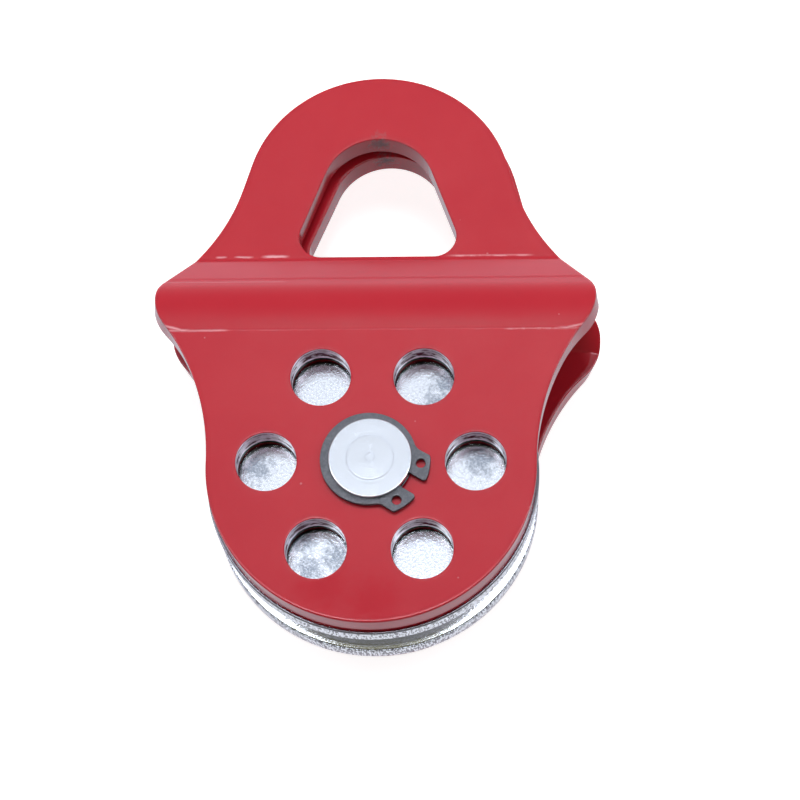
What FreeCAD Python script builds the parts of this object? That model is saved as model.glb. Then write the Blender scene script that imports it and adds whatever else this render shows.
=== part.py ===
import FreeCAD, Part
import math
import os

# Snatch block: two stamped and bent cheek plates with a grooved sheave between them.
# The block lies flat on the head of its axle pin. The pin's axis is Z, the front plate is on top,
# and both eyes point along +Y. The origin is on the pin's axis, on the flat rear face of its head.
# All lengths are millimetres and all angles are degrees.

# Axle pin and its head
PIN_DIAMETER = 17.2
PIN_END_LENGTH = 2.4
PIN_END_CHAMFER = 0.4
PIN_HEAD_DIAMETER = 24.0
PIN_HEAD_THICKNESS = 2.0
PIN_HEAD_CHAMFER = 0.5
PIN_RUNNING_CLEARANCE = 0.05

# Retaining ring and its groove in the pin
GROOVE_DEPTH = 0.45
RING_THICKNESS = 1.0
RING_SIDE_CLEARANCE = 0.05
RING_GRIP_CLEARANCE = 0.02
RING_WIDTH_AT_BACK = 2.35
RING_WIDTH_AT_LUGS = 1.45
RING_LUG_REACH = 4.3
RING_LUG_ANGLE = 35.0
RING_LUG_FLANK_ANGLE = 47.0
RING_GAP = 3.5
RING_HOLE_DIAMETER = 2.0
RING_HOLE_CIRCLE_REACH = 2.35
RING_HOLE_ANGLE = 26.5
RING_CORNER_RADIUS = 0.7
RING_ROOT_RADIUS = 2.6
RING_TURN = -31.4

# Sheave, its bush and the rope groove
SHEAVE_DIAMETER = 70.0
SHEAVE_WIDTH = 18.0
SHEAVE_EDGE_RADIUS = 0.6
ROPE_GROOVE_MOUTH = 8.6
ROPE_GROOVE_DEPTH = 7.0
ROPE_GROOVE_ROOT_RADIUS = 3.6
BUSH_WALL = 2.5
BUSH_CHAMFER = 0.4
BUSH_PRESS_FIT = 0.02

# Cheek plates across the stack
PLATE_THICKNESS = 6.0
SIDE_CLEARANCE = 1.0
THRUST_CLEARANCE = 0.2
EYE_GAP = 2.4
PLATE_EDGE_RADIUS = 0.7

# Bends that bring the two eyes together, sharp inside and drawn round outside
RIM_GAP = 0.85
BEND_INNER_RADIUS = 1.5
BEND_OUTER_RADIUS = 25.3
BEND_ANGLE = 36.5
EYE_BEND_RADIUS = 2.5

# Outline of a cheek plate, from the pin up to the eye
FRONT_RIM_SHOW = 0.55
REAR_RIM_SHOW = 1.8
REAR_PLATE_TURN = -1.6
EAR_WIDTH = 95.0
EAR_ABOVE_CREASE = 9.2
EAR_LOWER_RADIUS = 13.0
EAR_UPPER_RADIUS = 6.0
SHOULDER_RISE = 7.9
SHOULDER_RADIUS = 44.0
EYE_FLANK_ANGLE = 16.0
EYE_OUTER_RADIUS = 29.7
EYE_RIM = 15.7

# Eye hole, a rounded trapezoid with its flat side at the bend
EYE_HOLE_HEIGHT = 29.2
EYE_HOLE_TOP_RADIUS = 12.6
EYE_HOLE_LEG_ANGLE = 20.3
EYE_HOLE_CORNER_RADIUS = 5.0

# Lightening holes, which leave a web of metal inside and outside their ring
LIGHT_HOLE_COUNT = 6
LIGHT_HOLE_INNER_WEB = 6.75
LIGHT_HOLE_OUTER_WEB = 6.25

# Shares that keep a feature inside what carries it, and the size of a rounding error
CORNER_RUN_SHARE = 0.9
GROOVE_ROOT_SHARE = 0.48
LUG_FLANK_STRETCH = 1.6
SMALL = 1e-6

# Heights of the stack above the head's rear face
CHEEK_GAP = SHEAVE_WIDTH + 2 * SIDE_CLEARANCE
REAR_PLATE_Z = PIN_HEAD_THICKNESS
REAR_INNER_Z = REAR_PLATE_Z + PLATE_THICKNESS
FRONT_INNER_Z = REAR_INNER_Z + CHEEK_GAP
FRONT_PLATE_Z = FRONT_INNER_Z + PLATE_THICKNESS
MIDDLE_Z = REAR_INNER_Z + CHEEK_GAP / 2
RING_Z = FRONT_PLATE_Z + THRUST_CLEARANCE
PIN_TOP_Z = FRONT_PLATE_Z + PIN_END_LENGTH

# Radii that follow from the driving sizes
PIN_RADIUS = PIN_DIAMETER / 2
BORE_RADIUS = PIN_RADIUS + PIN_RUNNING_CLEARANCE
RING_SEAT_RADIUS = PIN_RADIUS - GROOVE_DEPTH
SHEAVE_RADIUS = SHEAVE_DIAMETER / 2
SHEAVE_BORE_RADIUS = BORE_RADIUS + BUSH_WALL
CHEEK_RADIUS = SHEAVE_RADIUS - FRONT_RIM_SHOW
REAR_CHEEK_RADIUS = SHEAVE_RADIUS - REAR_RIM_SHOW
LIGHT_HOLE_RADIUS = (CHEEK_RADIUS - BORE_RADIUS - LIGHT_HOLE_INNER_WEB - LIGHT_HOLE_OUTER_WEB) / 2
LIGHT_HOLE_CIRCLE_RADIUS = CHEEK_RADIUS - LIGHT_HOLE_OUTER_WEB - LIGHT_HOLE_RADIUS

# Heights along the plate: its inner face bends just past the sheave's rim, its outer face sooner
JOGGLE = (CHEEK_GAP - EYE_GAP) / 2
BEND_HALF_TANGENT = math.tan(math.radians(BEND_ANGLE / 2))
INNER_CREASE_Y = SHEAVE_RADIUS + RIM_GAP
CREASE_LEAD = (BEND_OUTER_RADIUS - BEND_INNER_RADIUS - PLATE_THICKNESS) * BEND_HALF_TANGENT
CREASE_Y = INNER_CREASE_Y - CREASE_LEAD
BEND_SINE = math.sin(math.radians(BEND_ANGLE))
BEND_COSINE = math.cos(math.radians(BEND_ANGLE))
SLOPE_LENGTH = (JOGGLE - (BEND_OUTER_RADIUS + EYE_BEND_RADIUS) * (1 - BEND_COSINE)) / BEND_SINE
EYE_HOLE_BOTTOM = CREASE_Y + (BEND_OUTER_RADIUS + EYE_BEND_RADIUS) * BEND_SINE + SLOPE_LENGTH * BEND_COSINE
EYE_HOLE_TOP = EYE_HOLE_BOTTOM + EYE_HOLE_HEIGHT
EYE_TOP = EYE_HOLE_TOP + EYE_RIM
EYE_CENTRE_Y = EYE_TOP - EYE_OUTER_RADIUS
EAR_Y = CREASE_Y + EAR_ABOVE_CREASE


def point(x, y, z=0.0):
    """A point of the model."""
    return FreeCAD.Vector(x, y, z)


def polar(centre, radius, angle):
    """The point on a circle in the XY plane at an angle from +X."""
    turn = math.radians(angle)
    return centre + point(radius * math.cos(turn), radius * math.sin(turn))


def line(start, end):
    """A straight edge."""
    return Part.LineSegment(start, end).toShape()


def arc(centre, radius, start, end):
    """An edge along a circle in the XY plane, from one angle to another."""
    middle = (start + end) / 2
    ends = polar(centre, radius, start), polar(centre, radius, end)
    return Part.Arc(ends[0], polar(centre, radius, middle), ends[1]).toShape()


def crossing(start, direction, other_start, other_direction):
    """Where two lines in the XY plane cross."""
    turn = direction.x * other_direction.y - direction.y * other_direction.x
    gap = other_start - start
    along = (gap.x * other_direction.y - gap.y * other_direction.x) / turn
    return start + direction * along


def touching_angle(centre, radius, outside):
    """Where on a circle a straight line from an outside point touches it, on the point's right."""
    away = outside - centre
    return math.degrees(math.atan2(away.y, away.x) - math.acos(radius / away.Length))


def rounded_corner(start, corner, end, radius):
    """The two straight runs of a corner and the arc between them, limited by the shorter run."""
    back = (start - corner).normalize()
    ahead = (end - corner).normalize()
    half = back.getAngle(ahead) / 2
    shorter_run = min(corner.distanceToPoint(start), corner.distanceToPoint(end))
    reach = min(radius / math.tan(half), CORNER_RUN_SHARE * shorter_run)
    bisector = (back + ahead).normalize()
    centre_distance = reach / math.cos(half)
    arc_radius = reach * math.tan(half)
    first = corner + back * reach
    last = corner + ahead * reach
    middle = corner + bisector * (centre_distance - arc_radius)
    return [line(start, first), Part.Arc(first, middle, last).toShape(), line(last, end)]


def prism(edges, low, high):
    """A solid between two heights whose outline is a closed chain of edges in the XY plane."""
    wire = Part.Wire(Part.__sortEdges__(edges))
    solid = Part.Face(wire).extrude(point(0, 0, high - low))
    solid.translate(point(0, 0, low))
    return solid


def mirrored(edges):
    """The edges and their mirror images across the YZ plane."""
    return edges + [edge.mirror(point(0, 0), point(1, 0)) for edge in edges]


def tube(outer_radius, inner_radius, low, high, chamfer):
    """A round tube about the pin's axis with chamfered ends."""
    section = [
        point(inner_radius + chamfer, 0, low),
        point(outer_radius - chamfer, 0, low),
        point(outer_radius, 0, low + chamfer),
        point(outer_radius, 0, high - chamfer),
        point(outer_radius - chamfer, 0, high),
        point(inner_radius + chamfer, 0, high),
        point(inner_radius, 0, high - chamfer),
        point(inner_radius, 0, low + chamfer),
    ]
    return spun(Part.makePolygon(section + section[:1]))


def spun(wire):
    """A solid of revolution about the pin's axis."""
    return Part.Face(wire).revolve(point(0, 0), FreeCAD.Vector(0, 0, 1), 360)


def plate_outline(cheek_radius):
    """The plan outline of a cheek plate, a chain of arcs and lines that meet without a corner."""
    half_ear = EAR_WIDTH / 2
    pin = point(0, 0)
    lower_ear = point(half_ear - EAR_LOWER_RADIUS, EAR_Y)
    upper_ear = point(half_ear - EAR_UPPER_RADIUS, EAR_Y)
    eye = point(0, EYE_CENTRE_Y)

    # The waist leaves the cheek upright and touches the ear from outside
    inset = cheek_radius - lower_ear.x
    waist_radius = (inset ** 2 + EAR_Y ** 2 - EAR_LOWER_RADIUS ** 2) / (2 * (EAR_LOWER_RADIUS - inset))
    waist = point(cheek_radius + waist_radius, 0)
    waist_angle = 180 - math.degrees(math.atan2(EAR_Y, waist.x - lower_ear.x))

    # The shoulder rounds the corner where the ear's slope meets the straight flank of the eye
    eye_meets = polar(eye, EYE_OUTER_RADIUS, EYE_FLANK_ANGLE)
    eye_flank = polar(pin, 1, EYE_FLANK_ANGLE + 90)
    shoulder = point(0, EYE_HOLE_BOTTOM + SHOULDER_RISE)
    corner = crossing(shoulder, point(1, 0), eye_meets, eye_flank)
    ear_angle = touching_angle(upper_ear, EAR_UPPER_RADIUS, corner)
    ear_leaves = polar(upper_ear, EAR_UPPER_RADIUS, ear_angle)

    side = [
        arc(pin, cheek_radius, -90, 0),
        arc(waist, waist_radius, 180, waist_angle),
        arc(lower_ear, EAR_LOWER_RADIUS, waist_angle - 180, 0),
        arc(upper_ear, EAR_UPPER_RADIUS, 0, ear_angle),
        arc(eye, EYE_OUTER_RADIUS, EYE_FLANK_ANGLE, 90),
    ]
    return mirrored(side + rounded_corner(ear_leaves, corner, eye_meets, SHOULDER_RADIUS))


def eye_hole_outline():
    """The outline of the hole through an eye, with a round top and a flat bottom."""
    top = point(0, EYE_HOLE_TOP - EYE_HOLE_TOP_RADIUS)
    leg_top = polar(top, EYE_HOLE_TOP_RADIUS, EYE_HOLE_LEG_ANGLE)
    bottom = point(0, EYE_HOLE_BOTTOM)
    leg = polar(point(0, 0), 1, EYE_HOLE_LEG_ANGLE + 90)
    corner = crossing(leg_top, leg, bottom, point(1, 0))
    side = [arc(top, EYE_HOLE_TOP_RADIUS, EYE_HOLE_LEG_ANGLE, 90)]
    return mirrored(side + rounded_corner(leg_top, corner, bottom, EYE_HOLE_CORNER_RADIUS))


def bent_sheet():
    """The front plate's sheet before its outline is cut: flat at the cheek, sloped, flat at the eye."""
    past = PLATE_THICKNESS
    eye_axis = point(0, EYE_HOLE_BOTTOM, FRONT_PLATE_Z - JOGGLE + EYE_BEND_RADIUS)

    def face_edges(crease_y, face_z, bend_radius, eye_bend_radius):
        """One face of the sheet in the YZ plane, with the ends of its straight runs."""
        bend_axis = point(0, crease_y, face_z - bend_radius)
        bend = [bend_axis + upright(bend_radius, share * BEND_ANGLE) for share in (0, 0.5, 1)]
        eye_bend = [eye_axis - upright(eye_bend_radius, share * BEND_ANGLE) for share in (1, 0.5, 0)]
        low_end = point(0, -CHEEK_RADIUS - past, bend[0].z)
        high_end = point(0, EYE_TOP + past, eye_bend[-1].z)
        edges = [
            line(low_end, bend[0]),
            Part.Arc(*bend).toShape(),
            line(bend[-1], eye_bend[0]),
            Part.Arc(*eye_bend).toShape(),
            line(eye_bend[-1], high_end),
        ]
        return edges, low_end, high_end

    outer_bends = CREASE_Y, FRONT_PLATE_Z, BEND_OUTER_RADIUS, EYE_BEND_RADIUS
    inner_bends = INNER_CREASE_Y, FRONT_INNER_Z, BEND_INNER_RADIUS, EYE_BEND_RADIUS + PLATE_THICKNESS
    outer, outer_low, outer_high = face_edges(*outer_bends)
    inner, inner_low, inner_high = face_edges(*inner_bends)
    edges = outer + inner + [line(outer_low, inner_low), line(outer_high, inner_high)]
    section = Part.Face(Part.Wire(Part.__sortEdges__(edges)))
    sheet = section.extrude(point(EAR_WIDTH + 2 * past, 0))
    sheet.translate(point(-EAR_WIDTH / 2 - past, 0))
    return sheet


def upright(radius, angle):
    """A step in the YZ plane that leans from +Z towards +Y by an angle."""
    turn = math.radians(angle)
    return point(0, radius * math.sin(turn), radius * math.cos(turn))


def make_cheek_plate(cheek_radius):
    """A cheek plate as it lies on top, with its eye hole, pin hole and lightening holes."""
    blank = prism(plate_outline(cheek_radius), 0, PIN_TOP_Z)
    cutters = [prism(eye_hole_outline(), 0, PIN_TOP_Z), Part.makeCylinder(BORE_RADIUS, PIN_TOP_Z)]
    for index in range(LIGHT_HOLE_COUNT):
        place = polar(point(0, 0), LIGHT_HOLE_CIRCLE_RADIUS, index * 360 / LIGHT_HOLE_COUNT)
        cutters.append(Part.makeCylinder(LIGHT_HOLE_RADIUS, PIN_TOP_Z, place))
    plate = bent_sheet().common(blank.cut(cutters)).removeSplitter()
    return plate.makeFillet(PLATE_EDGE_RADIUS, punched_edges(plate))


def punched_edges(plate):
    """The edges that the punch leaves round the outline and round each hole, on both faces."""
    edges = []
    for face in plate.Faces:
        for edge in face.Edges:
            lengthwise = edge.Vertexes[0].X - edge.Vertexes[-1].X if len(edge.Vertexes) > 1 else 0
            across = edge.BoundBox.XLength > SMALL or edge.BoundBox.YLength > SMALL
            if across and is_wall(face) and not is_bend_line(edge, lengthwise):
                edges.append(edge)
    return edges


def is_wall(face):
    """Whether a face stands upright all over, as a cut edge of the sheet does."""
    low_u, high_u, low_v, high_v = face.ParameterRange
    places = [(low_u, low_v), (high_u, low_v), ((low_u + high_u) / 2, (low_v + high_v) / 2)]
    return all(abs(face.normalAt(u, v).z) < SMALL for u, v in places)


def is_bend_line(edge, lengthwise):
    """Whether an edge is a straight line across the sheet where a bend begins or ends."""
    return edge.BoundBox.YLength < SMALL and edge.BoundBox.ZLength < SMALL and abs(lengthwise) > EAR_WIDTH / 2


def make_rear_plate():
    """The cheek plate below: turned over, cut closer at the cheek, and swung a little out of line."""
    plate = make_cheek_plate(REAR_CHEEK_RADIUS).mirror(point(0, 0, MIDDLE_Z), FreeCAD.Vector(0, 0, 1))
    plate.rotate(point(0, 0), FreeCAD.Vector(0, 0, 1), REAR_PLATE_TURN)
    return plate


def make_sheave():
    """The grooved wheel, with a round-bottomed rope groove and softened rims."""
    low = MIDDLE_Z - SHEAVE_WIDTH / 2
    root_radius = min(ROPE_GROOVE_ROOT_RADIUS, GROOVE_ROOT_SHARE * ROPE_GROOVE_MOUTH)
    root_centre = SHEAVE_RADIUS - ROPE_GROOVE_DEPTH + root_radius
    flank_lean = math.atan2(ROPE_GROOVE_MOUTH / 2 - root_radius, ROPE_GROOVE_DEPTH - root_radius)
    mouth = ROPE_GROOVE_MOUTH / 2
    flank_out = root_radius * math.cos(flank_lean)
    flank_in = root_centre - root_radius * math.sin(flank_lean)
    lower = [
        point(SHEAVE_BORE_RADIUS, 0, low),
        point(SHEAVE_RADIUS, 0, low),
        point(SHEAVE_RADIUS, 0, MIDDLE_Z - mouth),
        point(flank_in, 0, MIDDLE_Z - flank_out),
    ]
    upper = [point(corner.x, 0, 2 * MIDDLE_Z - corner.z) for corner in reversed(lower)]
    root = Part.Arc(lower[-1], point(root_centre - root_radius, 0, MIDDLE_Z), upper[0]).toShape()
    rims = [line(*pair) for run in (lower, upper) for pair in zip(run, run[1:])]
    section = rims + [root, line(upper[-1], lower[0])]
    wheel = spun(Part.Wire(Part.__sortEdges__(section)))
    rim_edges = [edge for edge in wheel.Edges if is_circle_of(edge, SHEAVE_RADIUS)]
    return wheel.makeFillet(SHEAVE_EDGE_RADIUS, rim_edges)


def is_circle_of(edge, radius):
    """Whether an edge is a circle of the given radius."""
    return isinstance(edge.Curve, Part.Circle) and abs(edge.Curve.Radius - radius) < SMALL


def make_sheave_bush():
    """The plain bearing pressed into the sheave, a little proud of it on both sides."""
    reach = CHEEK_GAP / 2 - THRUST_CLEARANCE
    outer = SHEAVE_BORE_RADIUS + BUSH_PRESS_FIT
    return tube(outer, BORE_RADIUS, MIDDLE_Z - reach, MIDDLE_Z + reach, BUSH_CHAMFER)


def make_axle_pin():
    """The headed pin, with a groove for the retaining ring and a chamfered end."""
    head = PIN_HEAD_DIAMETER / 2
    groove_low = RING_Z - RING_SIDE_CLEARANCE
    groove_high = RING_Z + RING_THICKNESS + RING_SIDE_CLEARANCE
    section = [
        point(0, 0, 0),
        point(head - PIN_HEAD_CHAMFER, 0, 0),
        point(head, 0, PIN_HEAD_CHAMFER),
        point(head, 0, PIN_HEAD_THICKNESS),
        point(PIN_RADIUS, 0, PIN_HEAD_THICKNESS),
        point(PIN_RADIUS, 0, groove_low),
        point(RING_SEAT_RADIUS, 0, groove_low),
        point(RING_SEAT_RADIUS, 0, groove_high),
        point(PIN_RADIUS, 0, groove_high),
        point(PIN_RADIUS, 0, PIN_TOP_Z - PIN_END_CHAMFER),
        point(PIN_RADIUS - PIN_END_CHAMFER, 0, PIN_TOP_Z),
        point(0, 0, PIN_TOP_Z),
    ]
    return spun(Part.makePolygon(section + section[:1]))


def make_retaining_ring():
    """The open spring ring in the pin's groove, widest opposite its two pierced lugs."""
    centre = point(0, 0)
    inner = RING_SEAT_RADIUS + RING_GRIP_CLEARANCE
    lug_radius = inner + RING_LUG_REACH
    outer = inner + (RING_WIDTH_AT_BACK + RING_WIDTH_AT_LUGS) / 2
    shift = (RING_WIDTH_AT_BACK - RING_WIDTH_AT_LUGS) / 2

    # The lugs' block is a piece of a disc between two flanks that run down into the ring
    flank_top = polar(centre, lug_radius, RING_LUG_ANGLE)
    flank_foot = polar(centre, outer - shift, RING_LUG_FLANK_ANGLE)
    inside = flank_top + (flank_foot - flank_top) * LUG_FLANK_STRETCH
    block_edges = [
        arc(centre, lug_radius, -RING_LUG_ANGLE, RING_LUG_ANGLE),
        line(flank_top, inside),
        line(inside, point(inside.x, -inside.y)),
        line(point(inside.x, -inside.y), point(flank_top.x, -flank_top.y)),
    ]
    body = Part.makeCylinder(outer, RING_THICKNESS, point(-shift, 0))
    ring = body.fuse(prism(block_edges, 0, RING_THICKNESS))
    gap = Part.makeBox(lug_radius, RING_GAP, RING_THICKNESS, point(0, -RING_GAP / 2))
    ring = ring.cut([Part.makeCylinder(inner, RING_THICKNESS), gap]).removeSplitter()

    def upright_edges_near(places):
        """The upright edges of the ring that stand at the given places or their mirror images."""
        found = []
        for edge in ring.Edges:
            spot = edge.CenterOfMass
            near = any(math.hypot(spot.x - p.x, abs(spot.y) - p.y) < RING_CORNER_RADIUS for p in places)
            if near and edge.BoundBox.XLength < SMALL and edge.BoundBox.ZLength > SMALL:
                found.append(edge)
        return found

    gap_tip = point(math.sqrt(lug_radius ** 2 - RING_GAP ** 2 / 4), RING_GAP / 2)
    ring = ring.makeFillet(RING_CORNER_RADIUS, upright_edges_near([gap_tip, flank_top]))
    roots = [e for e in ring.Edges if is_ring_root(e, outer, shift, lug_radius)]
    ring = ring.makeFillet(RING_ROOT_RADIUS, roots)
    hole_radius = inner + RING_HOLE_CIRCLE_REACH
    for side in (-1, 1):
        place = polar(centre, hole_radius, side * RING_HOLE_ANGLE)
        ring = ring.cut(Part.makeCylinder(RING_HOLE_DIAMETER / 2, RING_THICKNESS, place))
    ring.rotate(centre, FreeCAD.Vector(0, 0, 1), RING_TURN)
    ring.translate(point(0, 0, RING_Z))
    return ring


def is_ring_root(edge, outer, shift, lug_radius):
    """Whether an upright edge is the inside corner where a lug's flank meets the ring's outer face."""
    spot = edge.CenterOfMass
    upright_edge = edge.BoundBox.XLength < SMALL and edge.BoundBox.ZLength > SMALL
    on_outer = abs(math.hypot(spot.x + shift, spot.y) - outer) < 1000 * SMALL
    return upright_edge and on_outer and math.hypot(spot.x, spot.y) < lug_radius and spot.x > 0


def main():
    """Make every piece and write one file for each."""
    os.makedirs("parts", exist_ok=True)
    pieces = {
        "front_plate": make_cheek_plate(CHEEK_RADIUS),
        "rear_plate": make_rear_plate(),
        "sheave": make_sheave(),
        "sheave_bush": make_sheave_bush(),
        "axle_pin": make_axle_pin(),
        "retaining_ring": make_retaining_ring(),
    }
    for name, shape in pieces.items():
        shape.exportStep(f"parts/{name}.step")
        print(f"{name}: valid {shape.isValid()}, {len(shape.Solids)} solid, {shape.Volume:.1f} mm3")


main()
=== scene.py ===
"""Snatch block: two red bent cheek plates, a zinc sheave on a turned pin and a spring retaining ring.

The block lies on the head of its pin. The pin's axis is Z and the two eyes point along +Y. Lengths are in
metres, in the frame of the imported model, and every piece rides on the body that carries it. Only the places
that a finish names, such as its folds, spots and bands, are in millimetres.
"""
import logging
import math
from dataclasses import dataclass, field
from enum import Enum
from typing import Any, Callable, Sequence

import bmesh
import bpy
from bmesh.types import BMesh, BMFace, BMVert
from mathutils import Matrix, Vector


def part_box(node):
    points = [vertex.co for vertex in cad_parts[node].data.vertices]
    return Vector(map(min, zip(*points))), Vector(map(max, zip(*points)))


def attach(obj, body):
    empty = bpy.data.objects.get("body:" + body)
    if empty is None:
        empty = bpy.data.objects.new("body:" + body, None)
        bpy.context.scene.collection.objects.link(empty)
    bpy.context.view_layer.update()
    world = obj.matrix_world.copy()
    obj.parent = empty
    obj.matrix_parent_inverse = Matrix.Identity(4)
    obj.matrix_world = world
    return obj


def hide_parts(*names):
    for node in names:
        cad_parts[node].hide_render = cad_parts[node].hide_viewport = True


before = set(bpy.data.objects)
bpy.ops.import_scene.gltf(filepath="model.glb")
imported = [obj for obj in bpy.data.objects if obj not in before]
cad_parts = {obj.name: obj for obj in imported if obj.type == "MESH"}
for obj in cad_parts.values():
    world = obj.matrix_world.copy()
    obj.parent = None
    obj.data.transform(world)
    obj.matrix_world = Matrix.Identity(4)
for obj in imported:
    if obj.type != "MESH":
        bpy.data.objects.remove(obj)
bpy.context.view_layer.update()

LOG = logging.getLogger("snatch_block")

MM = 0.001
# Vertices closer than this are one
MERGE = 0.0005 * MM
# How much a sheet is enlarged while it is punched
ENLARGE = 1000.0
# The level part of a vertex's normal above which it lies on a cut edge
LEVEL_PART = 1e-4
HALF_TURN = 180.0
ORIGIN = Vector((0, 0, 0))
X_AXIS = Vector((1, 0, 0))
Y_AXIS = Vector((0, 1, 0))
Z_AXIS = Vector((0, 0, 1))

Colour = tuple[float, float, float]
Place = tuple[float, float, float]
Span = tuple[float, float]
Node = bpy.types.Node
Socket = bpy.types.NodeSocket


class Body(Enum):
    """The bodies that pieces ride on."""

    REAR_CHEEK = "rear_cheek"
    FRONT_CHEEK = "front_cheek"
    WHEEL = "wheel"


class Slot(Enum):
    """The finishes that the record names."""

    RED_PAINT = "red_paint"
    BRIGHT_ZINC = "bright_zinc"
    BUSH_BRONZE = "bush_bronze"
    PIN_ZINC = "pin_zinc"
    DARK_PHOSPHATE = "dark_phosphate"


class Side(Enum):
    """Which way a cheek plate's outer face looks."""

    FRONT = 1
    REAR = -1


# Drawing and turning


class Pencil:
    """Draws a chain of vertices in a plane by running straight and turning round centres."""

    CHORD = 0.8 * MM
    WIDEST_TURN = 4.0

    def __init__(self, mesh: BMesh, start: Vector, axis: Vector = Z_AXIS) -> None:
        """Puts the pencil down.

        Args:
            mesh: the mesh that the chain is drawn in.
            start: where the chain starts.
            axis: the normal of the plane, round which the pencil turns.
        """
        self.mesh = mesh
        self.axis = axis
        self.tip: BMVert = mesh.verts.new(start)

    def run(self, end: Vector) -> BMVert:
        """Draws a straight line.

        Args:
            end: where the line ends.

        Returns:
            The vertex at the end of the line.
        """
        grown = bmesh.ops.extrude_vert_indiv(self.mesh, verts=[self.tip])
        self.tip = grown["verts"][0]
        self.tip.co = end
        return self.tip

    def turn(self, centre: Vector, degrees: float) -> BMVert:
        """Draws an arc from the tip round a centre.

        Args:
            centre: the centre of the arc.
            degrees: how far the arc turns, anticlockwise round the axis.

        Returns:
            The vertex at the end of the arc.
        """
        radius = (self.tip.co - centre).length
        length = abs(math.radians(degrees)) * radius
        steps = max(2, math.ceil(length / self.CHORD), math.ceil(abs(degrees) / self.WIDEST_TURN))
        swept = bmesh.ops.spin(
            self.mesh,
            geom=[self.tip],
            cent=centre,
            axis=self.axis,
            angle=math.radians(degrees),
            steps=steps,
        )
        self.tip = next(item for item in swept["geom_last"] if isinstance(item, BMVert))
        return self.tip


def polar(centre: Vector, radius: float, degrees: float) -> Vector:
    """The point on a circle in the XY plane at an angle from +X."""
    turn = math.radians(degrees)
    return centre + Vector((radius * math.cos(turn), radius * math.sin(turn), 0))


def bearing(centre: Vector, place: Vector) -> float:
    """The angle from +X, in degrees, of a place seen from a centre in the XY plane."""
    return math.degrees(math.atan2(place.y - centre.y, place.x - centre.x))


def crossing(start: Vector, along: Vector, other: Vector, other_along: Vector) -> Vector:
    """Finds where two lines in the XY plane cross.

    Args:
        start: a point of the first line.
        along: the first line's direction.
        other: a point of the second line.
        other_along: the second line's direction.

    Returns:
        The point where they cross.
    """
    gap = other - start
    share = gap.cross(other_along).z / along.cross(other_along).z
    return start + along * share


def touching_bearing(centre: Vector, radius: float, outside: Vector) -> float:
    """Where a straight line from an outside point touches a circle, on the point's right."""
    return bearing(centre, outside) - math.degrees(math.acos(radius / (outside - centre).length))


@dataclass(frozen=True)
class Rounding:
    """The arc that rounds the corner between two straight runs."""

    first: Vector
    centre: Vector
    degrees: float

    @classmethod
    def of(cls, start: Vector, corner: Vector, end: Vector, radius: float) -> "Rounding":
        """Works out the arc.

        Args:
            start: a point on the run that leads to the corner.
            corner: the sharp corner.
            end: a point on the run that leaves the corner.
            radius: the radius of the arc.

        Returns:
            The arc, from where it leaves the first run.
        """
        back = (start - corner).normalized()
        ahead = (end - corner).normalized()
        half = back.angle(ahead) / 2
        first = corner + back * (radius / math.tan(half))
        centre = corner + (back + ahead).normalized() * (radius / math.sin(half))
        side = math.copysign(1.0, back.cross(ahead).z)
        return cls(first, centre, -side * (180 - 2 * math.degrees(half)))

    def draw(self, pencil: Pencil) -> None:
        """Runs the pencil to the arc and round it."""
        pencil.run(self.first)
        pencil.turn(self.centre, self.degrees)


def mirror_outline(mesh: BMesh, axis: str) -> None:
    """Completes a half outline with its mirror image.

    Args:
        mesh: holds the half outline, whose ends lie on the mirror.
        axis: the direction across the mirror.
    """
    bmesh.ops.mirror(
        mesh, geom=mesh.verts[:] + mesh.edges[:], matrix=Matrix.Identity(4), merge_dist=MERGE, axis=axis
    )
    bmesh.ops.remove_doubles(mesh, verts=mesh.verts[:], dist=MERGE)


@dataclass(frozen=True)
class Corner:
    """A corner of a turned section, with the radius that softens it."""

    radius: float
    height: float
    rounding: float = 0.0


@dataclass
class TurnedSection:
    """The half section of a turned piece, spun about the pin's axis."""

    corners: Sequence[Corner]
    steps: int = 180
    rounding_segments: int = 4
    sharp_degrees: float = 40.0

    def spin(self) -> BMesh:
        """Makes the turned piece.

        Returns:
            A closed mesh whose faces point outwards.
        """
        mesh = bmesh.new()
        verts = [mesh.verts.new((corner.radius, 0, corner.height)) for corner in self.corners]
        mesh.faces.new(verts)
        self.soften(mesh, verts)
        bmesh.ops.delete(mesh, geom=mesh.faces[:], context="FACES_ONLY")
        on_axis = [edge for edge in mesh.edges if all(vert.co.x < MERGE for vert in edge.verts)]
        bmesh.ops.delete(mesh, geom=on_axis, context="EDGES")
        bmesh.ops.spin(
            mesh,
            geom=mesh.verts[:] + mesh.edges[:],
            cent=(0, 0, 0),
            axis=Z_AXIS,
            angle=math.tau,
            steps=self.steps,
            use_merge=True,
        )
        bmesh.ops.remove_doubles(mesh, verts=mesh.verts[:], dist=MERGE)
        bmesh.ops.recalc_face_normals(mesh, faces=mesh.faces[:])
        for edge in mesh.edges:
            edge.smooth = edge.calc_face_angle(0.0) < math.radians(self.sharp_degrees)
        return mesh

    def soften(self, mesh: BMesh, verts: Sequence[BMVert]) -> None:
        """Rounds the corners that ask for it.

        Args:
            mesh: the mesh that holds the section as one face.
            verts: the section's vertices, in the order of its corners.
        """
        for rounding in sorted({corner.rounding for corner in self.corners if corner.rounding > 0}):
            bmesh.ops.bevel(
                mesh,
                geom=[vert for vert, corner in zip(verts, self.corners) if corner.rounding == rounding],
                offset=rounding,
                offset_type="OFFSET",
                segments=self.rounding_segments,
                profile=0.5,
                affect="VERTICES",
                material=-1,
            )


def level_side(vert: BMVert) -> Vector:
    """The level direction out of the cut edge that a vertex of a flat sheet lies on, or zero on a face."""
    level = Vector((vert.normal.x, vert.normal.y, 0))
    return level.normalized() if level.length > LEVEL_PART else ORIGIN.copy()


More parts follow.
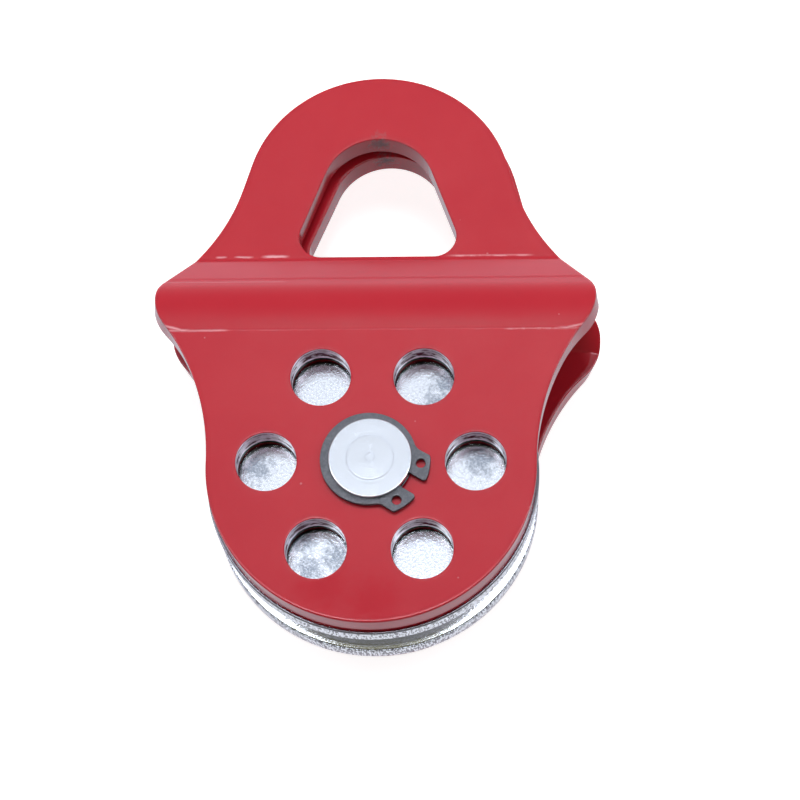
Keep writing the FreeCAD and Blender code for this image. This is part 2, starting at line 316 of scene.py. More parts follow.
@dataclass(frozen=True)
class PunchedSheet:
    """A flat sheet punched to closed outlines, with the edges of both faces rounded."""

    thickness: float
    edge_radius: float
    edge_steps: int = 5
    margin: float = 0.4 * MM
    shoulder_degrees: float = 0.0
    hole_edge_radius: float = 0.0

    def punch(self, mesh: BMesh) -> None:
        """Turns the outlines into a sheet that lies from zero to its thickness.

        Args:
            mesh: holds closed outlines in the XY plane, and becomes the sheet.
        """
        # Insets round off badly in metres, so the sheet is worked enlarged and brought back at the end
        bmesh.ops.transform(mesh, matrix=Matrix.Scale(ENLARGE, 4), verts=mesh.verts[:])
        middle = self.thickness / 2 * ENLARGE
        radius = self.edge_radius * ENLARGE
        merge = MERGE * ENLARGE
        bmesh.ops.triangle_fill(mesh, edges=mesh.edges[:], use_beauty=True, normal=Z_AXIS)
        foot = mesh.faces[:]
        grown = bmesh.ops.extrude_face_region(mesh, geom=foot)
        top = [item for item in grown["geom"] if isinstance(item, BMFace)]
        risen = [item for item in grown["geom"] if isinstance(item, BMVert)]
        bmesh.ops.translate(mesh, vec=Z_AXIS * (middle - radius), verts=risen)
        bmesh.ops.delete(mesh, geom=[face for face in foot if face.is_valid], context="FACES")
        for step in range(self.edge_steps):
            start = math.radians(90 * step / self.edge_steps)
            end = math.radians(90 * (step + 1) / self.edge_steps)
            self.inset(
                mesh,
                top,
                radius * (math.cos(start) - math.cos(end)),
                radius * (math.sin(end) - math.sin(start)),
            )
        self.inset(mesh, top, self.margin * ENLARGE, 0)
        bmesh.ops.mirror(
            mesh,
            geom=mesh.verts[:] + mesh.edges[:] + mesh.faces[:],
            matrix=Matrix.Identity(4),
            merge_dist=merge,
            axis="Z",
        )
        bmesh.ops.remove_doubles(mesh, verts=mesh.verts[:], dist=merge)
        bmesh.ops.recalc_face_normals(mesh, faces=mesh.faces[:])
        home = Matrix.Scale(1 / ENLARGE, 4) @ Matrix.Translation(Z_AXIS * middle)
        bmesh.ops.transform(mesh, matrix=home, verts=mesh.verts[:])

    @staticmethod
    def inset(mesh: BMesh, faces: Sequence[BMFace], across: float, up: float) -> None:
        """Draws the rim of a region inwards and lifts the region.

        Args:
            mesh: the mesh that holds the region.
            faces: the region.
            across: how far the rim is drawn in.
            up: how far the region is lifted.
        """
        bmesh.ops.inset_region(mesh, faces=faces, thickness=across, use_even_offset=True, use_boundary=True)
        risen = list({vert for face in faces for vert in face.verts})
        bmesh.ops.translate(mesh, vec=Z_AXIS * up, verts=risen)

    def sharpen(self, vert: BMVert, side: Vector) -> None:
        """Moves a vertex of a hole's lip to where the hole's own smaller rounding has it.

        Args:
            vert: a vertex of the flat sheet.
            side: the level direction out of the nearest cut edge.
        """
        depth = min(vert.co.z, self.thickness - vert.co.z)
        if side.length == 0 or depth >= self.edge_radius:
            return
        up = self.edge_radius - depth
        inset = self.edge_radius - math.sqrt(max(0.0, self.edge_radius**2 - up**2))
        kept = self.hole_edge_radius / self.edge_radius
        vert.co += side * (inset * (1 - kept))
        vert.co.z += math.copysign(depth * (1 - kept), vert.co.z - self.thickness / 2)

    def normal(self, side: Vector, height: float, in_hole: bool = False) -> Vector:
        """The true normal of the flat sheet at a place on it.

        Args:
            side: the level direction out of the nearest cut edge.
            height: the height above the sheet's lower face.
            in_hole: whether that edge is a sharpened hole's.

        Returns:
            A unit vector, level on the cut edge and upright on a face.
        """
        depth = min(height, self.thickness - height)
        radius = self.hole_edge_radius if in_hole else self.edge_radius
        flattest = math.cos(math.radians(self.shoulder_degrees)) if side.length > 0 else 1.0
        rise = max(0.0, min(flattest, 1 - depth / radius))
        level = side * math.sqrt(1 - rise * rise)
        return level + Z_AXIS * math.copysign(rise, height - self.thickness / 2)


# The cheek plate

FLAT_PLACE = "flat_place"
HOLE_WALL = "hole_wall"


@dataclass(frozen=True)
class BentFace:
    """One face of a sheet that bends down past a crease and flat again at the eye."""

    crease: float
    eye_line: float
    angle: float
    first_axis: float
    first_radius: float
    second_axis: float
    second_radius: float
    first_steps: int
    second_steps: int

    def lean(self, place: float) -> float:
        """How far the face leans there, in radians.

        Args:
            place: the distance along the plate from the pin.

        Returns:
            Zero where the face is level, and the bend's full angle on its slope.
        """
        steepest = math.sin(self.angle)
        past_crease = max(0.0, place - self.crease) / self.first_radius
        before_eye = max(0.0, self.eye_line - place) / self.second_radius
        return math.asin(min(past_crease, before_eye, steepest))

    def height(self, place: float) -> float:
        """The height of the face there, from the flat outer face of the cheek.

        Args:
            place: the distance along the plate from the pin.

        Returns:
            A height, zero or less.
        """
        first_end = self.crease + self.first_radius * math.sin(self.angle)
        if place <= first_end:
            return self.first_axis + self.first_radius * math.cos(self.lean(place))
        if place < self.eye_line - self.second_radius * math.sin(self.angle):
            drop = (place - first_end) * math.tan(self.angle)
            return self.height(first_end) - drop
        return self.second_axis - self.second_radius * math.cos(self.lean(place))


@dataclass
class CheekPlate:
    """A stamped and bent cheek plate with an eye hole, a pin hole and lightening holes."""

    side: Side
    thickness: float = 6.0 * MM
    edge_radius: float = 0.35 * MM
    hole_edge_radius: float = 0.25 * MM
    shoulder_degrees: float = 8.5
    cheek_radius: float = 34.45 * MM
    turn_degrees: float = 0.0
    bore_radius: float = 8.65 * MM
    inner_crease: float = 35.85 * MM
    bend_inner_radius: float = 1.5 * MM
    bend_outer_radius: float = 25.3 * MM
    bend_degrees: float = 36.5
    eye_bend_radius: float = 2.5 * MM
    joggle: float = 8.8 * MM
    ear_width: float = 95.0 * MM
    ear_above_crease: float = 9.2 * MM
    ear_lower_radius: float = 13.0 * MM
    ear_upper_radius: float = 6.0 * MM
    shoulder_rise: float = 7.9 * MM
    shoulder_radius: float = 44.0 * MM
    eye_flank_degrees: float = 16.0
    eye_outer_radius: float = 29.7 * MM
    hole_height: float = 29.2 * MM
    hole_top_radius: float = 12.6 * MM
    hole_leg_degrees: float = 20.3
    hole_corner_radius: float = 5.0 * MM
    light_holes: int = 6
    light_hole_radius: float = 6.4 * MM
    light_hole_circle: float = 21.8 * MM
    hole_chord: float = 0.5 * MM
    hole_zone: float = 1.2
    eye_zone: float = 0.7
    middle: float = 18.0 * MM
    drawn_degrees: float = 33.0
    drawn_eye_radius: float = 2.5 * MM
    ear_bulge: float = 0.9 * MM
    bulge_reach: float = 11.0 * MM

    def __post_init__(self) -> None:
        """Works out where the bends end and where the eye stands."""
        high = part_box("front_plate")[1]
        angle = math.radians(self.bend_degrees)
        lead = (self.bend_outer_radius - self.bend_inner_radius - self.thickness) * math.tan(angle / 2)
        self.crease = self.inner_crease - lead
        both = self.bend_outer_radius + self.eye_bend_radius
        slope = (self.joggle - both * (1 - math.cos(angle))) / math.sin(angle)
        self.hole_bottom = self.crease + both * math.sin(angle) + slope * math.cos(angle)
        self.hole_top = self.hole_bottom + self.hole_height
        self.eye_top = high[1]
        self.outer_face = high[2]
        self.eye_centre = Vector((0, self.eye_top - self.eye_outer_radius, 0))
        inner_axis = -self.thickness - self.bend_inner_radius
        eye_radius = self.eye_bend_radius + self.thickness
        eye_axis = self.eye_bend_radius - self.joggle
        bends = inner_axis, self.bend_inner_radius, eye_axis, eye_radius
        ends = self.inner_crease, self.hole_bottom
        self.inner = BentFace(*ends, angle, *bends, first_steps=6, second_steps=18)

        # The press draws the outer face to a slacker slope, between the same crease and the same eye
        drawn = math.radians(self.drawn_degrees)
        reach = self.hole_bottom - self.crease - self.joggle / math.tan(drawn)
        drawn_radius = reach / math.tan(drawn / 2) - self.drawn_eye_radius
        eye_axis = self.drawn_eye_radius - self.joggle
        bends = -drawn_radius, drawn_radius, eye_axis, self.drawn_eye_radius
        ends = self.crease, self.hole_bottom
        self.outer = BentFace(*ends, drawn, *bends, first_steps=30, second_steps=6)
        self.sheet = PunchedSheet(
            self.thickness,
            self.edge_radius,
            shoulder_degrees=self.shoulder_degrees,
            hole_edge_radius=self.hole_edge_radius,
        )

    def draw_outline(self, mesh: BMesh) -> None:
        """Draws the right half of the outline, a chain that meets without a corner.

        Args:
            mesh: the mesh that the outline is drawn in.
        """
        pin = ORIGIN
        ear_y = self.crease + self.ear_above_crease
        lower_ear = Vector((self.ear_width / 2 - self.ear_lower_radius, ear_y, 0))
        upper_ear = Vector((self.ear_width / 2 - self.ear_upper_radius, ear_y, 0))

        inset = self.cheek_radius - lower_ear.x
        room = self.ear_lower_radius - inset
        waist_radius = (inset**2 + ear_y**2 - self.ear_lower_radius**2) / (2 * room)
        waist = Vector((self.cheek_radius + waist_radius, 0, 0))
        waist_turn = math.degrees(math.atan2(ear_y, waist.x - lower_ear.x))

        eye_meets = polar(self.eye_centre, self.eye_outer_radius, self.eye_flank_degrees)
        flank = polar(pin, 1, self.eye_flank_degrees + 90)
        shoulder = Vector((0, self.hole_bottom + self.shoulder_rise, 0))
        corner = crossing(shoulder, X_AXIS, eye_meets, flank)
        ear_turn = touching_bearing(upper_ear, self.ear_upper_radius, corner)

        pencil = Pencil(mesh, Vector((0, -self.cheek_radius, 0)))
        pencil.turn(pin, 90)
        pencil.turn(waist, -waist_turn)
        pencil.turn(lower_ear, waist_turn)
        ear_leaves = pencil.turn(upper_ear, ear_turn).co.copy()
        Rounding.of(ear_leaves, corner, eye_meets, self.shoulder_radius).draw(pencil)
        pencil.run(eye_meets)
        pencil.turn(self.eye_centre, 90 - self.eye_flank_degrees)

    def draw_eye_hole(self, mesh: BMesh) -> None:
        """Draws the right half of the eye hole, round at its top and flat at its bottom.

        Args:
            mesh: the mesh that the outline is drawn in.
        """
        top = Vector((0, self.hole_top - self.hole_top_radius, 0))
        leg_top = polar(top, self.hole_top_radius, self.hole_leg_degrees)
        leg = polar(ORIGIN, 1, self.hole_leg_degrees + 90)
        bottom = Vector((0, self.hole_bottom, 0))
        corner = crossing(leg_top, leg, bottom, X_AXIS)
        pencil = Pencil(mesh, Vector((0, self.hole_top, 0)))
        pencil.turn(top, self.hole_leg_degrees - 90)
        Rounding.of(leg_top, corner, bottom, self.hole_corner_radius).draw(pencil)
        pencil.run(bottom)

    def draw_round_holes(self, mesh: BMesh) -> None:
        """Draws the pin hole and the ring of lightening holes.

        Args:
            mesh: the mesh that the outline is drawn in.
        """
        places = [(ORIGIN, self.bore_radius)]
        for index in range(self.light_holes):
            centre = polar(ORIGIN, self.light_hole_circle, index * 360 / self.light_holes)
            places.append((centre, self.light_hole_radius))
        for centre, radius in places:
            segments = math.ceil(math.tau * radius / self.hole_chord)
            bmesh.ops.create_circle(
                mesh, cap_ends=False, radius=radius, segments=segments, matrix=Matrix.Translation(centre)
            )

    def cut_across(self, mesh: BMesh) -> None:
        """Cuts the flat sheet across wherever it will bend, close enough for the bends to look round.

        Args:
            mesh: the flat sheet.
        """
        places = set()
        for face in (self.outer, self.inner):
            first = face.first_radius * math.sin(face.angle)
            second = face.second_radius * math.sin(face.angle)
            for low, length, steps in (
                (face.crease, first, face.first_steps),
                (face.eye_line - second, second, face.second_steps),
            ):
                places.update(low + length * step / steps for step in range(steps + 1))
        for place in sorted(places):
            bmesh.ops.bisect_plane(
                mesh,
                geom=mesh.verts[:] + mesh.edges[:] + mesh.faces[:],
                dist=MERGE,
                plane_co=Y_AXIS * place,
                plane_no=Y_AXIS,
            )

    def build(self) -> tuple[BMesh, list[Vector]]:
        """Makes the plate.

        Returns:
            The mesh and the true normal at each of its vertices.
        """
        mesh = bmesh.new()
        self.draw_outline(mesh)
        self.draw_eye_hole(mesh)
        mirror_outline(mesh, "X")
        self.draw_round_holes(mesh)
        self.sheet.punch(mesh)
        sides = mesh.verts.layers.float_vector.new("side")
        mesh.normal_update()
        for vert in mesh.verts:
            vert[sides] = level_side(vert)
        for vert in mesh.verts:
            if self.in_cheek_hole(vert) or self.in_eye_hole(vert):
                self.sheet.sharpen(vert, Vector(vert[sides]))
        self.cut_across(mesh)
        self.mark_walls(mesh, sides)
        normals = [self.bend(vert, Vector(vert[sides])) for vert in mesh.verts]
        if self.side is Side.REAR:
            flip = Matrix.Translation(Z_AXIS * 2 * self.middle) @ Matrix.Scale(-1, 4, Z_AXIS)
            bmesh.ops.transform(mesh, matrix=flip, verts=mesh.verts[:])
            bmesh.ops.reverse_faces(mesh, faces=mesh.faces[:])
            normals = [Vector((normal.x, normal.y, -normal.z)) for normal in normals]
        turn = Matrix.Rotation(math.radians(self.turn_degrees), 4, "Z")
        bmesh.ops.transform(mesh, matrix=turn, verts=mesh.verts[:])
        return mesh, [turn.to_3x3() @ normal for normal in normals]

    def mark_walls(self, mesh: BMesh, sides: Any) -> None:
        """Writes on each vertex its place in the flat sheet, and whether it is on a round hole's wall.

        Args:
            mesh: the flat sheet.
            sides: the layer with the level direction out of the nearest cut edge.
        """
        place = mesh.verts.layers.float_vector.new(FLAT_PLACE)
        hole = mesh.verts.layers.float.new(HOLE_WALL)
        for vert in mesh.verts:
            vert[place] = (vert.co.x / MM, vert.co.y / MM, vert.co.z / self.thickness)
            vert[hole] = float(Vector(vert[sides]).length > 0 and self.in_cheek_hole(vert))

    def in_cheek_hole(self, vert: BMVert) -> bool:
        """Whether a vertex of the flat sheet is among the round holes."""
        return vert.co.xy.length < self.light_hole_circle + self.light_hole_radius * self.hole_zone

    def in_eye_hole(self, vert: BMVert) -> bool:
        """Whether a vertex of the flat sheet is about the eye hole and not on the plate's outline."""
        beside = abs(vert.co.x) < self.eye_outer_radius * self.eye_zone
        return beside and -MM < vert.co.y - self.hole_bottom < self.hole_height + MM

    def bend(self, vert: BMVert, side: Vector) -> Vector:
        """Moves a vertex of the flat sheet to its height in the bent plate.

        Args:
            vert: the vertex, which is moved.
            side: the level direction out of the nearest cut edge.

        Returns:
            The plate's true normal there.
        """
        height = vert.co.z
        place = vert.co.y
        depth = self.thickness - height
        in_hole = self.in_cheek_hole(vert) or self.in_eye_hole(vert)
        away = min(1.0, abs(place - self.inner_crease) / self.bulge_reach)
        bulge = 0.0 if in_hole else self.ear_bulge * math.cos(away * math.pi / 2) ** 2
        vert.co += side * (bulge * depth / self.thickness)
        if abs(height - depth) < MERGE:
            face_height = (self.outer.height(place) + self.inner.height(place)) / 2
            offset = 0.0
        elif height > depth:
            face_height = self.outer.height(place)
            offset = -depth
        else:
            face_height = self.inner.height(place)
            offset = height
        face = self.outer if height > depth else self.inner
        flat = self.sheet.normal(side.normalized() if side.length > 0 else side, height, in_hole)
        vert.co.z = self.outer_face + face_height + offset
        slope = -math.tan(face.lean(place))
        lift = bulge / self.thickness * side.length
        return Vector((flat.x, flat.y - slope * flat.z, flat.z + lift * (1 - abs(flat.z)))).normalized()


# The turned pieces and the ring


@dataclass
class Sheave:
    """The grooved wheel."""

    radius: float = 35.0 * MM
    bore_radius: float = 11.15 * MM
    width: float = 18.0 * MM
    edge_radius: float = 0.3 * MM
    bore_edge: float = 0.25 * MM
    mouth: float = 8.6 * MM
    mouth_radius: float = 0.5 * MM
    groove_depth: float = 7.0 * MM
    root_radius: float = 3.6 * MM
    root_corners: int = 18
    middle: float = 18.0 * MM

    def build(self) -> BMesh:
        """Makes the wheel.

        Returns:
            Its closed mesh.
        """
        root_centre = self.radius - self.groove_depth + self.root_radius
        half_mouth = self.mouth / 2
        lean = math.atan2(half_mouth - self.root_radius, self.groove_depth - self.root_radius)
        low = self.middle - self.width / 2
        high = self.middle + self.width / 2
        corners = [
            Corner(self.bore_radius, low, self.bore_edge),
            Corner(self.radius, low, self.edge_radius),
            Corner(self.radius, self.middle - half_mouth, self.mouth_radius),
        ]
        for step in range(self.root_corners + 1):
            turn = lean + (math.pi - 2 * lean) * step / self.root_corners
            corners.append(
                Corner(
                    root_centre - self.root_radius * math.sin(turn),
                    self.middle - self.root_radius * math.cos(turn),
                )
            )
        corners += [
            Corner(self.radius, self.middle + half_mouth, self.mouth_radius),
            Corner(self.radius, high, self.edge_radius),
            Corner(self.bore_radius, high, self.bore_edge),
        ]
        return TurnedSection(corners, steps=240).spin()


@dataclass
class SheaveBush:
    """The plain bearing in the sheave."""

    inner_radius: float = 8.65 * MM
    wall: float = 2.5 * MM
    chamfer: float = 0.4 * MM

    def build(self) -> BMesh:
        """Makes the bush.

        Returns:
            Its closed mesh.
        """
        low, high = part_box("sheave_bush")
        outer = self.inner_radius + self.wall
        corners = [
            Corner(radius, height, self.chamfer)
            for radius, height in (
                (self.inner_radius, low[2]),
                (outer, low[2]),
                (outer, high[2]),
                (self.inner_radius, high[2]),
            )
        ]
        return TurnedSection(corners, rounding_segments=2).spin()


@dataclass
class AxlePin:
    """The headed pin, with its ring groove and the marks of the lathe on its end."""

    radius: float = 8.6 * MM
    head_radius: float = 12.0 * MM
    head_thickness: float = 2.0 * MM
    head_edge: float = 0.5 * MM
    end_edge: float = 0.22 * MM
    groove_depth: float = 0.45 * MM
    groove_width: float = 1.1 * MM
    groove_height: float = 34.15 * MM
    mark_radius: float = 4.9 * MM
    mark_width: float = 0.22 * MM
    mark_depth: float = 0.05 * MM
    pip_radius: float = 1.05 * MM
    pip_depth: float = 0.02 * MM
    pip_floor: float = 0.6
    fine_edge: float = 0.05 * MM

    def build(self) -> BMesh:
        """Makes the pin.

        Returns:
            Its closed mesh.
        """
        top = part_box("axle_pin")[1][2]
        seat = self.radius - self.groove_depth
        groove_top = self.groove_height + self.groove_width
        corners = [
            Corner(0, 0),
            Corner(self.head_radius, 0, self.head_edge),
            Corner(self.head_radius, self.head_thickness, self.fine_edge),
            Corner(self.radius, self.head_thickness),
            Corner(self.radius, self.groove_height, self.fine_edge),
            Corner(seat, self.groove_height),
            Corner(seat, groove_top),
            Corner(self.radius, groove_top, self.fine_edge),
            Corner(self.radius, top, self.end_edge),
            Corner(self.mark_radius + self.mark_width, top),
            Corner(self.mark_radius, top - self.mark_depth),
            Corner(self.mark_radius - self.mark_width, top),
            Corner(self.pip_radius, top),
            Corner(self.pip_radius * self.pip_floor, top - self.pip_depth),
            Corner(0, top - self.pip_depth),
        ]
        return TurnedSection(corners, rounding_segments=3).spin()


@dataclass
class RetainingRing:
    """The open spring ring, widest opposite its two pierced lugs."""

    thickness: float = 1.0 * MM
    edge_radius: float = 0.12 * MM
    inner_radius: float = 8.17 * MM
    width_at_back: float = 2.35 * MM
    width_at_lugs: float = 1.45 * MM
    lug_reach: float = 4.3 * MM
    lug_degrees: float = 35.0
    flank_degrees: float = 47.0
    gap: float = 3.5 * MM
    hole_radius: float = 1.0 * MM
    hole_reach: float = 2.35 * MM
    hole_degrees: float = 26.5
    hole_segments: int = 36
    corner_radius: float = 0.7 * MM
    inner_corner_radius: float = 0.25 * MM
    root_radius: float = 2.6 * MM
    turn_degrees: float = -31.4

    def draw_outline(self, mesh: BMesh) -> None:
        """Draws the upper half of the ring, from its back round a lug to the gap, and mirrors it.

        Args:
            mesh: the mesh that the outline is drawn in.
        """
        pin = ORIGIN
        outer = self.inner_radius + (self.width_at_back + self.width_at_lugs) / 2
        shift = Vector((-(self.width_at_back - self.width_at_lugs) / 2, 0, 0))
        lug_radius = self.inner_radius + self.lug_reach
        foot = polar(pin, outer + shift.x, self.flank_degrees)
        flank = (polar(pin, lug_radius, self.lug_degrees) - foot).normalized()
        outward = Vector((-flank.y, flank.x, 0))

        # The root's arc lies outside both the ring's outer circle and the lug's flank
        beside_foot = foot + outward * self.root_radius
        away = (beside_foot - shift).dot(outward)
        reach = math.sqrt((outer + self.root_radius) ** 2 - away**2)
        root = beside_foot + flank * (reach - (beside_foot - shift).dot(flank))
        flank_meets = root - outward * self.root_radius

        # The corner that the flank leads to touches the flank and, from inside, the lug's round end
        corner = self.corner_radius
        beside_flank = foot - outward * corner
        along = beside_flank.dot(flank)
        run = math.sqrt(along**2 - beside_flank.length_squared + (lug_radius - corner) ** 2) - along
        lug_corner = beside_flank + flank * run

        tip = self.beside_gap(lug_radius - corner, corner)
        inner_tip = self.beside_gap(self.inner_radius + self.inner_corner_radius, self.inner_corner_radius)
        gap_face = Y_AXIS * self.inner_corner_radius

        pencil = Pencil(mesh, shift + Vector((-outer, 0, 0)))
        pencil.turn(shift, bearing(shift, root) - 180)
        pencil.turn(root, bearing(root, flank_meets) - bearing(root, shift))
        pencil.run(lug_corner + outward * corner)
        pencil.turn(lug_corner, bearing(pin, lug_corner) - bearing(pin, outward))
        self.follow(pencil, pin, bearing(pin, tip))
        pencil.turn(tip, -90 - bearing(pin, tip))
        pencil.run(inner_tip - gap_face)
        pencil.turn(inner_tip, bearing(pin, inner_tip) - 90)
        self.follow(pencil, pin, 180)
        mirror_outline(mesh, "Y")

    def beside_gap(self, from_pin: float, from_face: float) -> Vector:
        """The place at one distance from the pin's axis and another from the upper face of the gap."""
        height = self.gap / 2 + from_face
        return Vector((math.sqrt(from_pin**2 - height**2), height, 0))

    @staticmethod
    def follow(pencil: Pencil, centre: Vector, to_degrees: float) -> None:
        """Turns the pencil round a centre up to an angle."""
        pencil.turn(centre, to_degrees - bearing(centre, pencil.tip.co))

    def build(self) -> tuple[BMesh, list[Vector]]:
        """Makes the ring.

        Returns:
            Its closed mesh and the true normal at each of its vertices.
        """
        mesh = bmesh.new()
        self.draw_outline(mesh)
        pin = ORIGIN
        for side in (-1, 1):
            centre = polar(pin, self.inner_radius + self.hole_reach, side * self.hole_degrees)
            bmesh.ops.create_circle(
                mesh,
                cap_ends=False,
                radius=self.hole_radius,
                segments=self.hole_segments,
                matrix=Matrix.Translation(centre),
            )
        sheet = PunchedSheet(self.thickness, self.edge_radius, edge_steps=3, margin=0.06 * MM)
        sheet.punch(mesh)
        mesh.normal_update()
        normals = [sheet.normal(level_side(vert), vert.co.z) for vert in mesh.verts]
        place = Matrix.Translation(Z_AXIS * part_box("retaining_ring")[0][2])
        turn = Matrix.Rotation(math.radians(self.turn_degrees), 4, "Z")
        bmesh.ops.transform(mesh, matrix=place @ turn, verts=mesh.verts[:])
        return mesh, [turn.to_3x3() @ normal for normal in normals]


# Shader nodes


class Graph:
    """Adds nodes to a node tree and joins them."""

    def __init__(self, tree: bpy.types.NodeTree) -> None:
        """Starts with a tree."""
        self.tree = tree

    def add(self, kind: str, inputs: dict[str | int, Any] | None = None, **settings: Any) -> Node:
        """Adds one node.

        Args:
            kind: the node's type.
            inputs: a value or another node's socket for each input.
            settings: the node's own settings.

        Returns:
            The node.
        """
        node = self.tree.nodes.new(kind)
        for name, value in settings.items():
            setattr(node, name, value)
        self.feed(node, inputs or {})
        return node

    def feed(self, node: Node, inputs: dict[str | int, Any]) -> None:
        """Sets or joins inputs of a node.

        Args:
            node: the node.
            inputs: a value or another node's socket for each of them.
        """
        for name, value in inputs.items():
            if isinstance(value, Socket):
                self.tree.links.new(value, node.inputs[name])
            else:
                node.inputs[name].default_value = value

    def noise(self, place: Any, scale: Any, detail: float, roughness: float = 0.5) -> Socket:
        """A noise that wanders about one half."""
        inputs = {"Vector": place, "Scale": scale, "Detail": detail, "Roughness": roughness}
        return self.add("ShaderNodeTexNoise", inputs).outputs[0]

    def bump(self, height: Socket) -> Socket:
        """The normal over a height in millimetres."""
        return self.add("ShaderNodeBump", {"Height": height, "Distance": MM, "Strength": 1.0}).outputs[0]

    def math(self, operation: str, first: Any, second: Any = 0.0) -> Socket:
        """The result of an operation on one or two values."""
        return self.add("ShaderNodeMath", {0: first, 1: second}, operation=operation).outputs[0]

    def times(self, first: Any, second: Any) -> Socket:
        """The product of two values."""
        return self.math("MULTIPLY", first, second)

    def plus(self, first: Any, second: Any) -> Socket:
        """The sum of two values."""
        return self.math("ADD", first, second)

    def minus(self, first: Any, second: Any) -> Socket:
        """The first value less the second."""
        return self.math("SUBTRACT", first, second)

    def larger(self, first: Any, second: Any) -> Socket:
        """The larger of two values."""
        return self.math("MAXIMUM", first, second)

    def part(self, vector: Any, index: int) -> Socket:
        """One of a vector's three parts."""
        return self.add("ShaderNodeSeparateXYZ", {0: vector}).outputs[index]

    def spread(self, value: Any, low: Any, high: Any, to_low: Any = 0.0, to_high: Any = 1.0) -> Socket:
        """Maps a value from one range to another, smoothly and clamped."""
        inputs = {"Value": value, "From Min": low, "From Max": high, "To Min": to_low, "To Max": to_high}
        return self.add("ShaderNodeMapRange", inputs, interpolation_type="SMOOTHSTEP").outputs[0]

    def blend(self, share: Any, first: Any, second: Any, kind: str = "MIX") -> Socket:
        """Mixes two colours."""
        inputs = {0: share, 6: first, 7: second}
        return self.add("ShaderNodeMix", inputs, data_type="RGBA", blend_type=kind).outputs[2]

    def ramp(self, value: Any, stops: Sequence[tuple[float, float]]) -> Socket:
        """Turns a value into a grey level.

        Args:
            value: the value, from zero to one.
            stops: places along it, each with its level.

        Returns:
            The level.
        """
        node = self.add("ShaderNodeValToRGB", {"Fac": value})
        elements = node.color_ramp.elements
        while len(elements) < len(stops):
            elements.new(1.0)
        for element, (place, level) in zip(elements, stops):
            element.position = place
            element.color = grey(level)
        return node.outputs["Color"]


def empty_graph(owner: bpy.types.Material | bpy.types.World) -> Graph:
    """Empties the nodes of a material or a world.

    Args:
        owner: the material or the world.

    Returns:
        The graph that draws its nodes.
    """
    owner.use_nodes = True
    owner.node_tree.nodes.clear()
    return Graph(owner.node_tree)


def opaque(colour: Colour) -> tuple[float, float, float, float]:
    """The colour with a full alpha."""
    return (*colour, 1.0)


def grey(level: float) -> tuple[float, float, float, float]:
    """A grey of one level with a full alpha."""
    return (level, level, level, 1.0)


FLOAT = "NodeSocketFloat"
VECTOR = "NodeSocketVector"


@dataclass(frozen=True)
class Port:
    """An input of a shared node group: a number where it has a default, and a vector otherwise."""

    name: str
    default: float | None = None


@dataclass(frozen=True)
class Effect:
    """A surface effect that several finishes share, kept as one node group."""

    name: str
    ports: tuple[Port, ...]
    results: tuple[str, ...]
    draw: Callable[[Graph, Node, Node], None]

    def group(self) -> bpy.types.NodeTree:
        """The effect's node group, which is made the first time that it is asked for.

        Returns:
            The node group.
        """
        if self.name in bpy.data.node_groups:
            return bpy.data.node_groups[self.name]
        tree = bpy.data.node_groups.new(self.name, "ShaderNodeTree")
        for port in self.ports:
            kind = VECTOR if port.default is None else FLOAT
            socket = tree.interface.new_socket(port.name, in_out="INPUT", socket_type=kind)
            if port.default is not None:
                socket.default_value = port.default
        for result in self.results:
            tree.interface.new_socket(result, in_out="OUTPUT", socket_type=FLOAT)
        graph = Graph(tree)
        self.draw(graph, graph.add("NodeGroupInput"), graph.add("NodeGroupOutput"))
        return tree

    def place(self, graph: Graph, inputs: dict[str, Any]) -> Node:
        """Puts the effect into a material.

        Args:
            graph: the material's graph.
            inputs: the effect's own values there.

        Returns:
            The group node.
        """
        return graph.add("ShaderNodeGroup", inputs, node_tree=self.group())


# The second scale of a grain over its first, and the heights between which its value rises
FINER = 7.3
GRAIN_HEIGHTS = (0.3, 0.95)
# The solid share of a speck's size and of a spot's reach, and how far a spot's rim strays
SOLID_SPECK = 0.4
SOLID_SPOT = 0.1
RAGGED = 1.6
# Where a fold's ridge starts to climb, in millimetres from the middle, and how it fades and breaks off
EAR_STARTS = 41.0
FADE_SHARE = 0.3
LONGEST_FADE = 3.0
BREAKS = (0.42, 0.56)
# The share of a plate's thickness above which a face is its outer one
OUTER_SIDE = 0.97
# A punched wall's tears: how they are drawn out and stray, and how their blotches darken
TEARS = (1.0, 1.0, 9.0)
TEARS_STRAY = 0.3
TEARS_BLOTCHED = (0.4, 0.54, 0.3, 1.0)
# A punched wall's darkness from the plate's inner face to its outer one, its light bands a painted reflection
# and its dark ones partly torn steel and partly painted shade, and where its black foot, a painted shadow,
# ends
TORN_AND_SHADED_BANDS = (
    (0.0, 1.0),
    (0.2, 1.0),
    (0.25, 0.0),
    (0.31, 0.0),
    (0.37, 1.0),
    (0.62, 1.0),
    (0.7, 0.4),
    (0.8, 0.6),
    (0.87, 1.0),
    (0.92, 0.0),
)
FOOT_SHADOW = (0.16, 0.21)


def draw_grain(graph: Graph, given: Node, result: Node) -> None:
    """Two scales of noise, as height and as a value between two levels.

    Args:
        graph: the group's graph.
        given: the node that brings the group's inputs.
        result: the node that takes its results.
    """
    place, scale = given.outputs["Vector"], given.outputs["Scale"]
    coarse = graph.noise(place, scale, detail=3.0, roughness=0.55)
    fine = graph.noise(place, graph.times(scale, FINER), detail=2.0)
    height = graph.plus(coarse, graph.times(fine, given.outputs["Fine share"]))
    value = graph.spread(height, *GRAIN_HEIGHTS, given.outputs["Low"], given.outputs["High"])
    graph.feed(result, {"Height": height, "Value": value})


